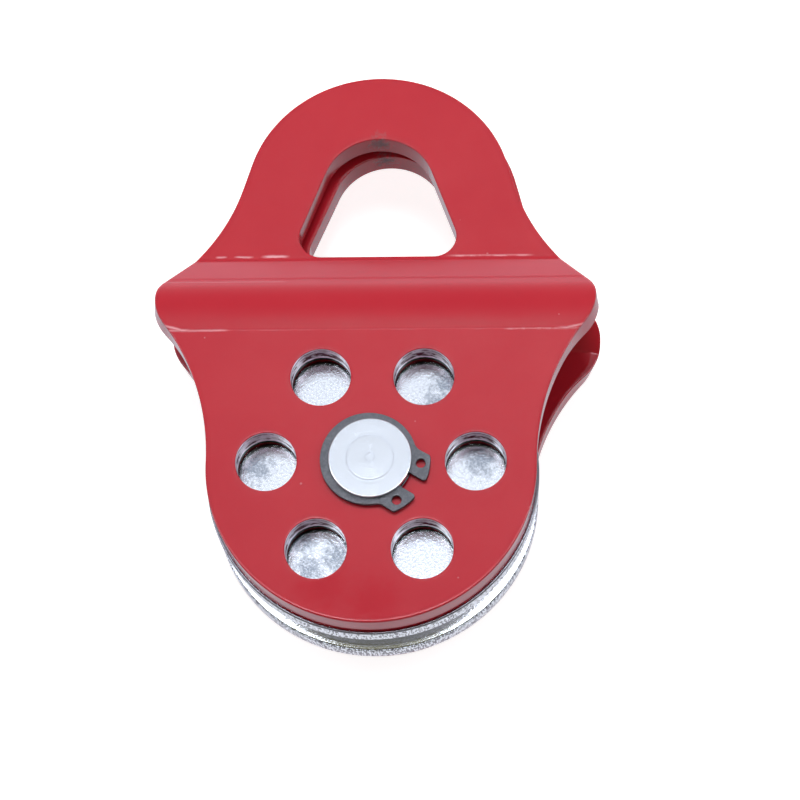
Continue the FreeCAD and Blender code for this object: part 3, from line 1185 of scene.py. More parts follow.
def draw_turning(graph: Graph, given: Node, result: Node) -> None:
    """Rings about the pin's axis, as a lathe or a polishing wheel leaves them.

    Args:
        graph: the group's graph.
        given: the node that brings the group's inputs.
        result: the node that takes its results.
    """
    place = given.outputs["Vector"]
    parts = graph.add("ShaderNodeSeparateXYZ", {0: place})
    level = graph.add("ShaderNodeCombineXYZ", {0: parts.outputs[0], 1: parts.outputs[1]})
    radius = graph.add("ShaderNodeVectorMath", {0: level.outputs[0]}, operation="LENGTH")
    wander = graph.noise(place, scale=90.0, detail=2.0)
    strayed = graph.times(wander, given.outputs["Wander"])
    path = graph.plus(radius.outputs["Value"], strayed)
    rings = graph.add(
        "ShaderNodeTexNoise",
        {"W": graph.times(path, given.outputs["Rings"]), "Scale": 1.0, "Detail": 3.0},
        noise_dimensions="1D",
    )
    graph.feed(result, {"Height": rings.outputs[0], "Radius": radius.outputs["Value"]})


def draw_specks(graph: Graph, given: Node, result: Node) -> None:
    """Small scattered dots, sparse because only some cells keep theirs.

    Args:
        graph: the group's graph.
        given: the node that brings the group's inputs.
        result: the node that takes its results.
    """
    cells = graph.add(
        "ShaderNodeTexVoronoi",
        {"Vector": given.outputs["Vector"], "Scale": given.outputs["Scale"], "Randomness": 1.0},
    )
    chance = graph.add("ShaderNodeSeparateColor", {0: cells.outputs["Color"]})
    size = graph.times(given.outputs["Size"], chance.outputs["Green"])
    dot = graph.spread(cells.outputs["Distance"], graph.times(size, SOLID_SPECK), size, 1.0, 0.0)
    kept = graph.math("LESS_THAN", chance.outputs["Red"], given.outputs["Share kept"])
    graph.feed(result, {"Mask": graph.times(dot, kept)})


def draw_spot(graph: Graph, given: Node, result: Node) -> None:
    """A patch with a ragged rim round a place.

    Args:
        graph: the group's graph.
        given: the node that brings the group's inputs.
        result: the node that takes its results.
    """
    place, radius = given.outputs["Vector"], given.outputs["Radius"]
    noise = graph.noise(place, scale=900.0, detail=3.0)
    apart = graph.add("ShaderNodeVectorMath", {0: place, 1: given.outputs["Centre"]}, operation="DISTANCE")
    ragged = graph.times(graph.minus(noise, 0.5), radius)
    reach = graph.plus(apart.outputs["Value"], graph.times(ragged, RAGGED))
    inner = graph.times(radius, given.outputs["Solid share"])
    mask = graph.spread(reach, inner, radius, 1.0, 0.0)
    graph.feed(result, {"Mask": mask})


def draw_fold(graph: Graph, given: Node, result: Node) -> None:
    """A fine ridge of paint along a fold of the sheet, broken here and there, which may climb at the ears.

    Args:
        graph: the group's graph.
        given: the node that brings the group's inputs.
        result: the node that takes its results.
    """
    flat = given.outputs["Flat place"]
    across, along, through = graph.add("ShaderNodeSeparateXYZ", {0: flat}).outputs
    noise = graph.noise(flat, scale=0.3, detail=3.0, roughness=0.6)
    stray = graph.times(graph.minus(noise, 0.5), given.outputs["Width"])
    ear = graph.larger(graph.minus(graph.math("ABSOLUTE", across), EAR_STARTS), 0.0)
    line = graph.plus(given.outputs["Along"], graph.times(ear, given.outputs["Climb"]))
    off = graph.math("ABSOLUTE", graph.plus(graph.minus(along, line), stray))
    hump = graph.spread(off, 0.0, given.outputs["Width"], 1.0, 0.0)
    length = graph.minus(given.outputs["End"], given.outputs["Start"])
    fade = graph.math("MINIMUM", graph.times(length, FADE_SHARE), LONGEST_FADE)
    started = graph.spread(graph.minus(across, given.outputs["Start"]), 0.0, fade)
    ended = graph.spread(graph.minus(given.outputs["End"], across), 0.0, fade)
    gaps_left = graph.minus(1.0, given.outputs["Broken"])
    whole = graph.spread(noise, *BREAKS, gaps_left, 1.0)
    outer = graph.math("GREATER_THAN", through, OUTER_SIDE)
    stretch = graph.times(graph.times(started, ended), graph.times(whole, outer))
    graph.feed(result, {"Mask": graph.times(hump, stretch)})


def draw_torn(graph: Graph, given: Node, result: Node) -> None:
    """Hole-wall darkness: smooth, painted reflection by the lips; torn, painted shade between; painted shadow
    at the foot.

    Args:
        graph: the group's graph.
        given: the node that brings the group's inputs.
        result: the node that takes its results.
    """
    flat = given.outputs["Flat place"]
    through = graph.part(flat, 2)
    tears = graph.add("ShaderNodeVectorMath", {0: flat, 1: TEARS}, operation="MULTIPLY").outputs[0]
    noise = graph.noise(tears, scale=0.4, detail=4.0)
    stray = graph.times(graph.minus(noise, 0.5), TEARS_STRAY)
    bands = graph.ramp(graph.plus(through, stray), TORN_AND_SHADED_BANDS)
    blotched = graph.times(bands, graph.spread(noise, *TEARS_BLOTCHED))
    # The wall's black foot is a painted shadow where it meets the gap
    foot = graph.spread(through, *FOOT_SHADOW, 1.0, 0.0)
    graph.feed(result, {"Darkness": graph.larger(blotched, foot), "Foot": foot})


GRAIN = Effect(
    "surface_grain",
    (
        Port("Vector"),
        Port("Scale", 200.0),
        Port("Fine share", 0.3),
        Port("Low", 0.0),
        Port("High", 1.0),
    ),
    ("Height", "Value"),
    draw_grain,
)
TURNING = Effect(
    "turning_marks",
    (Port("Vector"), Port("Rings", 2000.0), Port("Wander", 0.0005)),
    ("Height", "Radius"),
    draw_turning,
)
SPECKS = Effect(
    "specks",
    (
        Port("Vector"),
        Port("Scale", 300.0),
        Port("Size", 0.2),
        Port("Share kept", 0.2),
    ),
    ("Mask",),
    draw_specks,
)
TORN = Effect("torn_and_shaded_wall", (Port("Flat place"),), ("Darkness", "Foot"), draw_torn)
FOLD = Effect(
    "fold_ridge",
    (
        Port("Flat place"),
        Port("Along", 0.0),
        Port("Start", -50.0),
        Port("End", 50.0),
        Port("Width", 0.3),
        Port("Climb", 0.0),
        Port("Broken", 0.0),
    ),
    ("Mask",),
    draw_fold,
)
SPOT = Effect(
    "spot",
    (
        Port("Vector"),
        Port("Centre"),
        Port("Radius", 0.001),
        Port("Solid share", 0.5),
    ),
    ("Mask",),
    draw_spot,
)


# Finishes


def spots(graph: Graph, place: Socket, centres: Sequence[Place], radius: float) -> Any:
    """Joins the patches round several places into one mask.

    Args:
        graph: the material's graph.
        place: the surface's own coordinates.
        centres: where the patches are, in millimetres.
        radius: how far each reaches.

    Returns:
        The mask's socket, or zero where there are no places.
    """
    mask: Any = 0.0
    for centre in centres:
        inputs = {"Vector": place, "Centre": [value * MM for value in centre], "Radius": radius}
        spot = SPOT.place(graph, {**inputs, "Solid share": SOLID_SPOT})
        mask = graph.larger(mask, spot.outputs[0])
    return mask


def lay_grain(
    graph: Graph, place: Socket, scale: float, fine: float, low: float = 0.0, high: float = 1.0
) -> Node:
    """Puts surface grain into a material.

    Args:
        graph: the material's graph.
        place: the surface's own coordinates.
        scale: the scale of its coarser noise.
        fine: the share of its finer noise.
        low: its value in the pits.
        high: its value on the heights.

    Returns:
        The group node.
    """
    inputs = {"Vector": place, "Scale": scale, "Fine share": fine, "Low": low, "High": high}
    return GRAIN.place(graph, inputs)


@dataclass(frozen=True)
class Finish:
    """What every finish has: a name, a colour, and how metallic and how rough it is."""

    name: str
    colour: Colour
    metallic: float
    roughness: float

    def build(self) -> bpy.types.Material:
        """Makes the material.

        Returns:
            A material whose nodes the finish has drawn.
        """
        material = bpy.data.materials.new(self.name)
        graph = empty_graph(material)
        shader = graph.add(
            "ShaderNodeBsdfPrincipled",
            {"Base Color": opaque(self.colour), "Metallic": self.metallic, "Roughness": self.roughness},
        )
        graph.add("ShaderNodeOutputMaterial", {"Surface": shader.outputs[0]})
        place = graph.add("ShaderNodeTexCoord").outputs["Object"]
        self.dress(graph, shader, place)
        return material

    def dress(self, graph: Graph, shader: Node, place: Socket) -> None:
        """Draws the finish's own detail. A plain finish has none."""


@dataclass(frozen=True)
class Fold:
    """Where paint stands up along a fold, with its painted highlight and shade: millimetres in the flat
    sheet, across it and along it.
    """

    along: float
    start: float
    end: float
    height: float
    width: float = 0.3
    climb: float = 0.0
    broken: float = 0.0
    # How much highlight is painted along the fold
    pale: float = 0.0
    # How much shade is painted along the fold, which also takes its shine
    dulled: float = 0.0


@dataclass(frozen=True)
class GlossPaint(Finish):
    """Thick gloss paint with orange peel, fine dust, nibs, fold ridges, rubbed spots, and painted shade,
    highlights and reflections.
    """

    deep_colour: Colour = (0.42, 0.010, 0.022)
    steel_colour: Colour = (0.16, 0.13, 0.14)
    # A round hole's wall: its pale colour is a painted reflection, its dark one partly torn steel and partly
    # painted shade
    wall_painted_light_colour: Colour = (0.92, 0.76, 0.92)
    wall_tear_and_shade_colour: Colour = (0.09, 0.010, 0.028)
    # The colour of pale dust and nibs, and of the highlights painted along the folds
    pale_and_highlight_colour: Colour = (0.85, 0.48, 0.53)
    shine: float = 0.375
    wall_shine: float = 0.4
    eye_shine: float = 0.8
    eye_starts: float = 51.0
    eye_fade: float = 1.0
    wall_ends: Span = (0.95, 0.98)
    peel_scale: float = 420.0
    peel_depth: float = 0.005 * MM
    cloud_scale: float = 34.0
    cloud_share: float = 0.6
    speck_scale: float = 330.0
    speck_size: float = 0.11
    specks_kept: float = 0.03
    speck_pale: float = 0.2
    speck_height: float = 0.02
    nib_pale: float = 0.3
    nib_radius: float = 0.32 * MM
    nib_height: float = 0.10 * MM
    nibs: tuple[Place, ...] = ()
    rubs: tuple[Place, ...] = ()
    rub_radius: float = 3.2 * MM
    rub_strength: float = 0.85
    # Patches of painted shade low on the front face, darker and less shiny
    shade_patches: tuple[Place, ...] = ()
    shade_patch_radius: float = 8.0 * MM
    shade_patch_strength: float = 0.5
    torn_height: float = 0.04
    shine_scale: float = 95.0
    smoothest: float = 0.8
    roughest: float = 1.35
    rub_roughness: float = 0.25
    wall_roughness: float = 0.12
    torn_loss: float = 0.93
    shade_patch_loss: float = 0.8
    rub_loss: float = 0.5
    folds: tuple[Fold, ...] = ()

    def dress(self, graph: Graph, shader: Node, place: Socket) -> None:
        """Draws the paint's colour, its hole walls, its shine and its height.

        Args:
            graph: the material's graph.
            shader: the material's shader.
            place: the surface's own coordinates.
        """
        flat = graph.add("ShaderNodeAttribute", attribute_name=FLAT_PLACE).outputs["Vector"]
        parts = graph.add("ShaderNodeSeparateXYZ", {0: flat}).outputs
        hole = graph.add("ShaderNodeAttribute", attribute_name=HOLE_WALL).outputs["Fac"]
        wall = graph.times(hole, graph.spread(parts[2], *self.wall_ends, 1.0, 0.0))
        torn, foot = TORN.place(graph, {"Flat place": flat}).outputs
        cloud = lay_grain(graph, place, self.cloud_scale, fine=0.35, high=self.cloud_share)
        sizes = {"Scale": self.speck_scale, "Size": self.speck_size, "Share kept": self.specks_kept}
        dust = SPECKS.place(graph, {"Vector": place, **sizes}).outputs[0]
        nibs = spots(graph, place, self.nibs, self.nib_radius)
        rubs = graph.times(spots(graph, place, self.rubs, self.rub_radius), self.rub_strength)
        shade_patch = graph.times(spots(graph, place, self.shade_patches, self.shade_patch_radius), self.shade_patch_strength)

        colour = graph.blend(cloud.outputs["Value"], opaque(self.colour), opaque(self.deep_colour))
        # Painted shade in patches low on the front face
        colour = graph.blend(shade_patch, colour, opaque(self.deep_colour))
        # A round hole's wall: painted reflection where light, torn steel and painted shade where dark, a
        # painted black shadow at its foot
        wall_painted_light_colour = graph.blend(torn, opaque(self.wall_painted_light_colour), opaque(self.wall_tear_and_shade_colour))
        wall_painted_light_colour = graph.blend(foot, wall_painted_light_colour, grey(0.0))
        colour = graph.blend(wall, colour, wall_painted_light_colour)
        pale = graph.larger(graph.times(dust, self.speck_pale), graph.times(nibs, self.nib_pale))
        # The folds add painted highlights to the pale marks, and lines of painted shade
        rise, pale, painted_shade = self.fold_marks(graph, flat, pale)
        colour = graph.blend(pale, colour, opaque(self.pale_and_highlight_colour))
        colour = graph.blend(rubs, colour, opaque(self.steel_colour))
        colour = graph.blend(painted_shade, colour, opaque(self.deep_colour))

        low, high = self.roughness * self.smoothest, self.roughness * self.roughest
        shine = lay_grain(graph, place, self.shine_scale, 0.3, low, high)
        dulled = graph.plus(graph.times(rubs, self.rub_roughness), graph.times(wall, self.wall_roughness))
        roughness = graph.plus(shine.outputs["Value"], dulled)
        torn_and_shaded_wall = graph.times(torn, wall)
        lost: Any = painted_shade
        for loss, mask in ((self.torn_loss, torn_and_shaded_wall), (self.shade_patch_loss, shade_patch), (self.rub_loss, rubs)):
            lost = graph.larger(lost, graph.times(mask, loss))
        level = graph.times(graph.minus(1.0, lost), self.shine)
        eye_ends = self.eye_starts + self.eye_fade
        on_eye = graph.spread(parts[1], self.eye_starts, eye_ends, 1.0, self.eye_shine)
        on_wall = graph.spread(wall, 0.0, 1.0, 1.0, self.wall_shine)
        level = graph.times(level, graph.times(on_eye, on_wall))

        peel = lay_grain(graph, place, self.peel_scale, fine=0.12)
        height = graph.times(peel.outputs["Height"], self.peel_depth / MM)
        for rise_by, mask in (
            (self.nib_height / MM, nibs),
            (self.speck_height, dust),
            (self.torn_height, torn_and_shaded_wall),
        ):
            height = graph.plus(height, graph.times(mask, rise_by))
        normal = graph.bump(graph.plus(height, rise))
        graph.feed(shader, {"Base Color": colour, "Roughness": roughness})
        graph.feed(shader, {"Specular IOR Level": level, "Normal": normal})

    def fold_marks(self, graph: Graph, flat: Socket, pale: Socket) -> tuple[Any, Any, Any]:
        """Draws the ridges along the folds, and the highlights and shade lines painted along them.

        Args:
            graph: the material's graph.
            flat: the place in the flat sheet.
            pale: the mask of the other pale marks.

        Returns:
            The height in millimetres, the mask of all pale marks with the painted highlights, and the mask of
            painted shade.
        """
        height: Any = 0.0
        painted_shade: Any = 0.0
        for fold in self.folds:
            inputs = {
                "Flat place": flat,
                "Along": fold.along,
                "Start": fold.start,
                "End": fold.end,
                "Width": fold.width,
                "Climb": fold.climb,
                "Broken": fold.broken,
            }
            mask = FOLD.place(graph, inputs).outputs[0]
            height = graph.plus(height, graph.times(mask, fold.height))
            if fold.pale:
                pale = graph.larger(pale, graph.times(mask, fold.pale))
            if fold.dulled:
                painted_shade = graph.larger(painted_shade, graph.times(mask, fold.dulled))
        return height, pale, painted_shade


@dataclass(frozen=True)
class Band:
    """A band round a turned piece, in millimetres: between two heights, outside a radius, and how strong its
    scuffing or painted shade is.
    """

    low: float
    high: float
    radius: float
    band_strength: float = 1.0


@dataclass(frozen=True)
class PlatedMetal(Finish):
    """Metal, plated or bare, with grain, turning rings, stains, scuffed rims, and patches and bands of
    painted shade.
    """

    stain_colour: Colour = (0.55, 0.57, 0.62)
    stain_share: float = 0.25
    grain_scale: float = 1500.0
    grain_depth: float = 0.012 * MM
    fine_share: float = 0.5
    rings: float = 2500.0
    ring_depth: float = 0.01 * MM
    scuffed: tuple[Band, ...] = ()
    scuff_scale: float = 2500.0
    scuff_stretch: Place = (1.0, 1.0, 0.3)
    scuff_heights: Span = (0.45, 0.7)
    scuff_edge: float = 0.12
    scuff_depth: float = 0.02 * MM
    scuff_colour: Colour = (0.16, 0.145, 0.17)
    # Bands of painted shade and their colour
    shaded_bands: tuple[Band, ...] = ()
    band_shade_colour: Colour = (0.05, 0.035, 0.045)
    # Patches of painted shade where the turned zinc's highlight misses: places, reach, colour and how they
    # follow the grain
    shaded_places: tuple[Place, ...] = ()
    shaded_radius: float = 5.0 * MM
    shaded_colour: Colour = (0.26, 0.29, 0.34)
    shaded_heights: Span = (-0.15, 0.05)
    shaded_shares: Span = (0.5, 0.85)
    stain_scale: float = 130.0
    smoothest: float = 0.7
    roughest: float = 1.5
    speckle: float = 0.0
    speckle_heights: Span = (-0.1, 0.12)
    circles: tuple[float, ...] = ()
    circle_width: float = 0.2 * MM
    circle_strength: float = 0.65

    def dress(self, graph: Graph, shader: Node, place: Socket) -> None:
        """Draws grain, turning rings, stains, patches of painted shade, scuffed bands and bands of painted
        shade.

        Args:
            graph: the material's graph.
            shader: the material's shader.
            place: the surface's own coordinates.
        """
        low, high = self.roughness * self.smoothest, self.roughness * self.roughest
        grain = lay_grain(graph, place, self.grain_scale, self.fine_share, low, high)
        turning = TURNING.place(graph, {"Vector": place, "Rings": self.rings})
        radius = turning.outputs["Radius"]
        stain = lay_grain(graph, place, self.stain_scale, fine=0.5, high=self.stain_share)
        colour = graph.blend(stain.outputs["Value"], opaque(self.colour), opaque(self.stain_colour))

        # Noise is one half on average, and the grain's height is that of two, the second one by its share
        usual = 0.5 + 0.5 * self.fine_share
        low, high = (usual + off for off in self.speckle_heights)
        speckle = graph.spread(grain.outputs["Height"], low, high, 0.0, self.speckle)
        colour = graph.blend(speckle, colour, opaque(self.stain_colour))
        # Painted shade in patches where the turned zinc's highlight misses
        painted_shade = spots(graph, place, self.shaded_places, self.shaded_radius)
        low, high = (usual + off for off in self.shaded_heights)
        patchy = graph.spread(grain.outputs["Height"], low, high, *self.shaded_shares)
        colour = graph.blend(graph.times(painted_shade, patchy), colour, opaque(self.shaded_colour))
        circled: Any = 0.0
        for circle in self.circles:
            off = graph.math("ABSOLUTE", graph.minus(radius, circle * MM))
            circled = graph.larger(circled, graph.spread(off, 0.0, self.circle_width, 1.0, 0.0))
        colour = graph.blend(graph.times(circled, self.circle_strength), colour, opaque(self.stain_colour))
        height = graph.plus(
            graph.times(grain.outputs["Height"], self.grain_depth / MM),
            graph.times(turning.outputs["Height"], self.ring_depth / MM),
        )
        if self.scuffed:
            scuff = self.scuffs(graph, place, radius)
            colour = graph.blend(scuff, colour, opaque(self.scuff_colour))
            height = graph.minus(height, graph.times(scuff, self.scuff_depth / MM))
        # Painted shade on the given bands
        band_shade: Any = 0.0
        for band in self.shaded_bands:
            inside = self.band_mask(graph, place, radius, band)
            band_shade = graph.larger(band_shade, graph.times(inside, band.band_strength))
        colour = graph.blend(band_shade, colour, opaque(self.band_shade_colour))
        graph.feed(shader, {"Base Color": colour, "Roughness": grain.outputs["Value"]})
        graph.feed(shader, {"Normal": graph.bump(height)})

    def scuffs(self, graph: Graph, place: Socket, radius: Socket) -> Socket:
        """Short scratches along the pin's axis on the bands that the rope has scuffed.

        Args:
            graph: the material's graph.
            place: the surface's own coordinates.
            radius: the distance from the pin's axis.

        Returns:
            The mask's socket.
        """
        stretch = {0: place, 1: self.scuff_stretch}
        drawn_out = graph.add("ShaderNodeVectorMath", stretch, operation="MULTIPLY").outputs[0]
        scratches = lay_grain(graph, drawn_out, self.scuff_scale, fine=0.2)
        worn_most, unworn = self.scuff_heights
        mask: Any = 0.0
        for band in self.scuffed:
            least = unworn - (unworn - worn_most) * band.band_strength
            scratch = graph.spread(scratches.outputs["Height"], least, least + self.scuff_edge)
            inside = self.band_mask(graph, place, radius, band)
            mask = graph.larger(mask, graph.times(inside, scratch))
        return mask

    @staticmethod
    def band_mask(graph: Graph, place: Socket, radius: Socket, band: Band) -> Socket:
        """One inside a band.

        Args:
            graph: the material's graph.
            place: the surface's own coordinates.
            radius: the distance from the pin's axis.
            band: the band.

        Returns:
            The mask's socket.
        """
        height = graph.part(place, 2)
        above = graph.math("GREATER_THAN", height, band.low * MM)
        under = graph.math("LESS_THAN", height, band.high * MM)
        outside = graph.math("GREATER_THAN", radius, band.radius * MM)
        return graph.times(graph.times(above, under), outside)


class Finishes:
    """The finishes of the block, with their marks where the block has them, and the light and shade painted
    into them.
    """

    RED = GlossPaint(
        name="red_gloss_paint",
        colour=(0.45, 0.016, 0.027),
        metallic=0.0,
        roughness=0.13,
        nibs=(
            (-14.3, -4.9, 34.0),
            (18.2, -25.1, 34.0),
            (-35.9, 28.1, 34.0),
        ),
        rubs=(
            (-0.1, 80.2, 22.8),
            (0.9, 80.6, 14.8),
        ),
        # Painted shade low on the front face
        shade_patches=(
            (-9.0, -26.5, 34.0),
            (1.0, -29.5, 34.0),
        ),
        folds=(
            # Ridges of paint along the folds; their pale marks are painted highlights and the dulled line is
            # painted shade
            Fold(along=29.85, start=-50, end=50, height=0.035, broken=0.3, pale=0.04),
            Fold(along=29.75, start=-50, end=-30, height=0.06, width=0.4, pale=0.35),
            Fold(along=29.75, start=27, end=50, height=0.06, width=0.35, broken=0.6, pale=0.3),
            Fold(along=29.85, start=-50, end=-38, height=0.07, width=0.45, climb=0.28, pale=0.55),
            Fold(along=29.85, start=38, end=50, height=0.07, width=0.45, climb=0.25, pale=0.45),
            Fold(along=43.9, start=-50, end=50, height=0.0, width=0.6, dulled=0.6),
            Fold(along=42.9, start=-50, end=-18, height=0.0, width=0.35, pale=0.08),
            Fold(along=51.15, start=-36, end=-33, height=0.06, width=0.35, pale=0.4),
            Fold(along=51.15, start=-32, end=-27, height=0.06, width=0.35, pale=0.45),
            Fold(along=51.2, start=-26, end=-19, height=0.09, width=0.5, pale=0.6),
            Fold(along=51.1, start=15, end=35, height=0.06, width=0.35, broken=0.5, pale=0.45),
        ),
    )
    ZINC = PlatedMetal(
        name="bright_zinc_plate",
        colour=(0.98, 0.985, 1.0),
        metallic=1.0,
        roughness=0.135,
        stain_share=0.1,
        grain_scale=2000.0,
        grain_depth=0.035 * MM,
        fine_share=0.2,
        speckle=0.4,
        scuffed=(
            Band(22.3, 26.8, 34.7, band_strength=0.45),
            Band(9.2, 13.7, 34.7, band_strength=0.6),
        ),
        # Painted shade on the rims' edges by the cheeks and in the rope groove
        shaded_bands=(
            Band(26.6, 28.0, 34.4, band_strength=0.85),
            Band(8.0, 9.3, 34.4, band_strength=0.85),
            Band(13.9, 22.1, 27.5, band_strength=0.45),
        ),
        # Painted shade on the wheel's face where the turned zinc's highlight misses
        shaded_places=(
            (-14.8, -14.5, 27.0),
            (-6.8, -18.5, 27.0),
            (-13.0, -21.5, 27.0),
            (15.5, 20.0, 27.0),
            (13.5, 15.0, 27.0),
            (-24.5, 1.0, 27.0),
            (22.5, 2.5, 27.0),
        ),
    )
    PIN = PlatedMetal(
        name="pin_zinc_plate",
        colour=(0.765, 0.775, 0.79),
        metallic=1.0,
        roughness=0.2,
        stain_share=0.06,
        grain_scale=4000.0,
        grain_depth=0.002 * MM,
        fine_share=0.1,
        ring_depth=0.02 * MM,
        # Painted shade on the pin's side by the ring
        shaded_bands=(Band(33.0, 35.7, 8.1, band_strength=0.85),),
        circles=(4.9, 1.0),
    )
    PHOSPHATE = PlatedMetal(
        name="dark_phosphate_steel",
        colour=(0.16, 0.16, 0.17),
        metallic=0.85,
        roughness=0.42,
        stain_colour=(0.10, 0.10, 0.11),
        stain_share=0.6,
        grain_scale=2400.0,
        speckle=0.6,
        ring_depth=0.0,
    )
    BRONZE = PlatedMetal(
        name="oiled_bronze",
        colour=(0.62, 0.40, 0.18),
        metallic=1.0,
        roughness=0.38,
        stain_colour=(0.30, 0.18, 0.08),
        stain_share=0.5,
    )


# Pieces in the scene


def put(name: str, data: bpy.types.ID) -> bpy.types.Object:
    """Puts an object into the scene.

    Args:
        name: its name.
        data: its mesh, lamp or camera.

    Returns:
        The object.
    """
    placed = bpy.data.objects.new(name, data)
    bpy.context.scene.collection.objects.link(placed)
    return placed


def put_mesh(name: str, mesh: BMesh, material: bpy.types.Material) -> bpy.types.Object:
    """Puts a mesh into the scene.

    Args:
        name: the object's name.
        mesh: its mesh, which is used up.
        material: its material.

    Returns:
        The object.
    """
    data = bpy.data.meshes.new(name)
    mesh.to_mesh(data)
    mesh.free()
    data.materials.append(material)
    return put(name, data)


@dataclass
class Piece:
    """A finished piece and what the model needs to know of it."""

    name: str
    node: str
    body: Body
    slot: Slot
    material: bpy.types.Material

    def show(self, mesh: BMesh, normals: Sequence[Vector] | None = None) -> bpy.types.Object:
        """Puts a mesh into the scene in place of its plain node.

        Args:
            mesh: the piece's mesh, which is used up.
            normals: the true normal at each vertex, or none where faces are weighted by their area.

        Returns:
            The piece's object.
        """
        for face in mesh.faces:
            face.smooth = True
        piece = put_mesh(self.name, mesh, self.material)
        if normals is None:
            modifier = piece.modifiers.new("weighted_normal", "WEIGHTED_NORMAL")
            modifier.mode = "FACE_AREA_WITH_ANGLE"
            modifier.weight = 90
            modifier.keep_sharp = True
        else:
            piece.data.normals_split_custom_set_from_vertices(normals)
        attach(piece, self.body.value)
        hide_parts(self.node)
        LOG.info("%s: %d faces, rides on %s", self.name, len(piece.data.polygons), self.body.value)
        return piece


class Block:
    """The whole snatch block."""

    def build(self) -> None:
        """Makes and dresses every piece."""
        red = Finishes.RED.build()
        zinc = Finishes.ZINC.build()
        plates = (
            ("front_cheek_plate", "front_plate", Body.FRONT_CHEEK, CheekPlate(Side.FRONT)),
            (
                "rear_cheek_plate",
                "rear_plate",
                Body.REAR_CHEEK,
                CheekPlate(Side.REAR, cheek_radius=33.2 * MM, turn_degrees=-1.6),
            ),
        )
        for name, node, body, plate in plates:
            Piece(name, node, body, Slot.RED_PAINT, red).show(*plate.build())
        Piece("grooved_sheave", "sheave", Body.WHEEL, Slot.BRIGHT_ZINC, zinc).show(Sheave().build())
        bronze = Finishes.BRONZE.build()
        Piece("bronze_bush", "sheave_bush", Body.WHEEL, Slot.BUSH_BRONZE, bronze).show(SheaveBush().build())
        pin = Finishes.PIN.build()
        Piece("turned_pin", "axle_pin", Body.REAR_CHEEK, Slot.PIN_ZINC, pin).show(AxlePin().build())
        phosphate = Finishes.PHOSPHATE.build()
        ring = Piece("spring_ring", "retaining_ring", Body.REAR_CHEEK, Slot.DARK_PHOSPHATE, phosphate)
        ring.show(*RetainingRing().build())


# Studio


@dataclass(frozen=True)
class SoftLamp:
    """A square soft lamp that looks at the block, and that shiny pieces don't show."""

    name: str
    place: Vector
    size: float
    watts: float

    def hang(self) -> None:
        """Puts the lamp into the scene."""
        data = bpy.data.lights.new(self.name, "AREA")
        data.shape = "SQUARE"
        data.size = self.size
        data.energy = self.watts
        lamp = put(self.name, data)
        lamp.location = self.place
        lamp.rotation_euler = (-self.place).to_track_quat("-Z", "Y").to_euler()
        lamp.visible_glossy = False


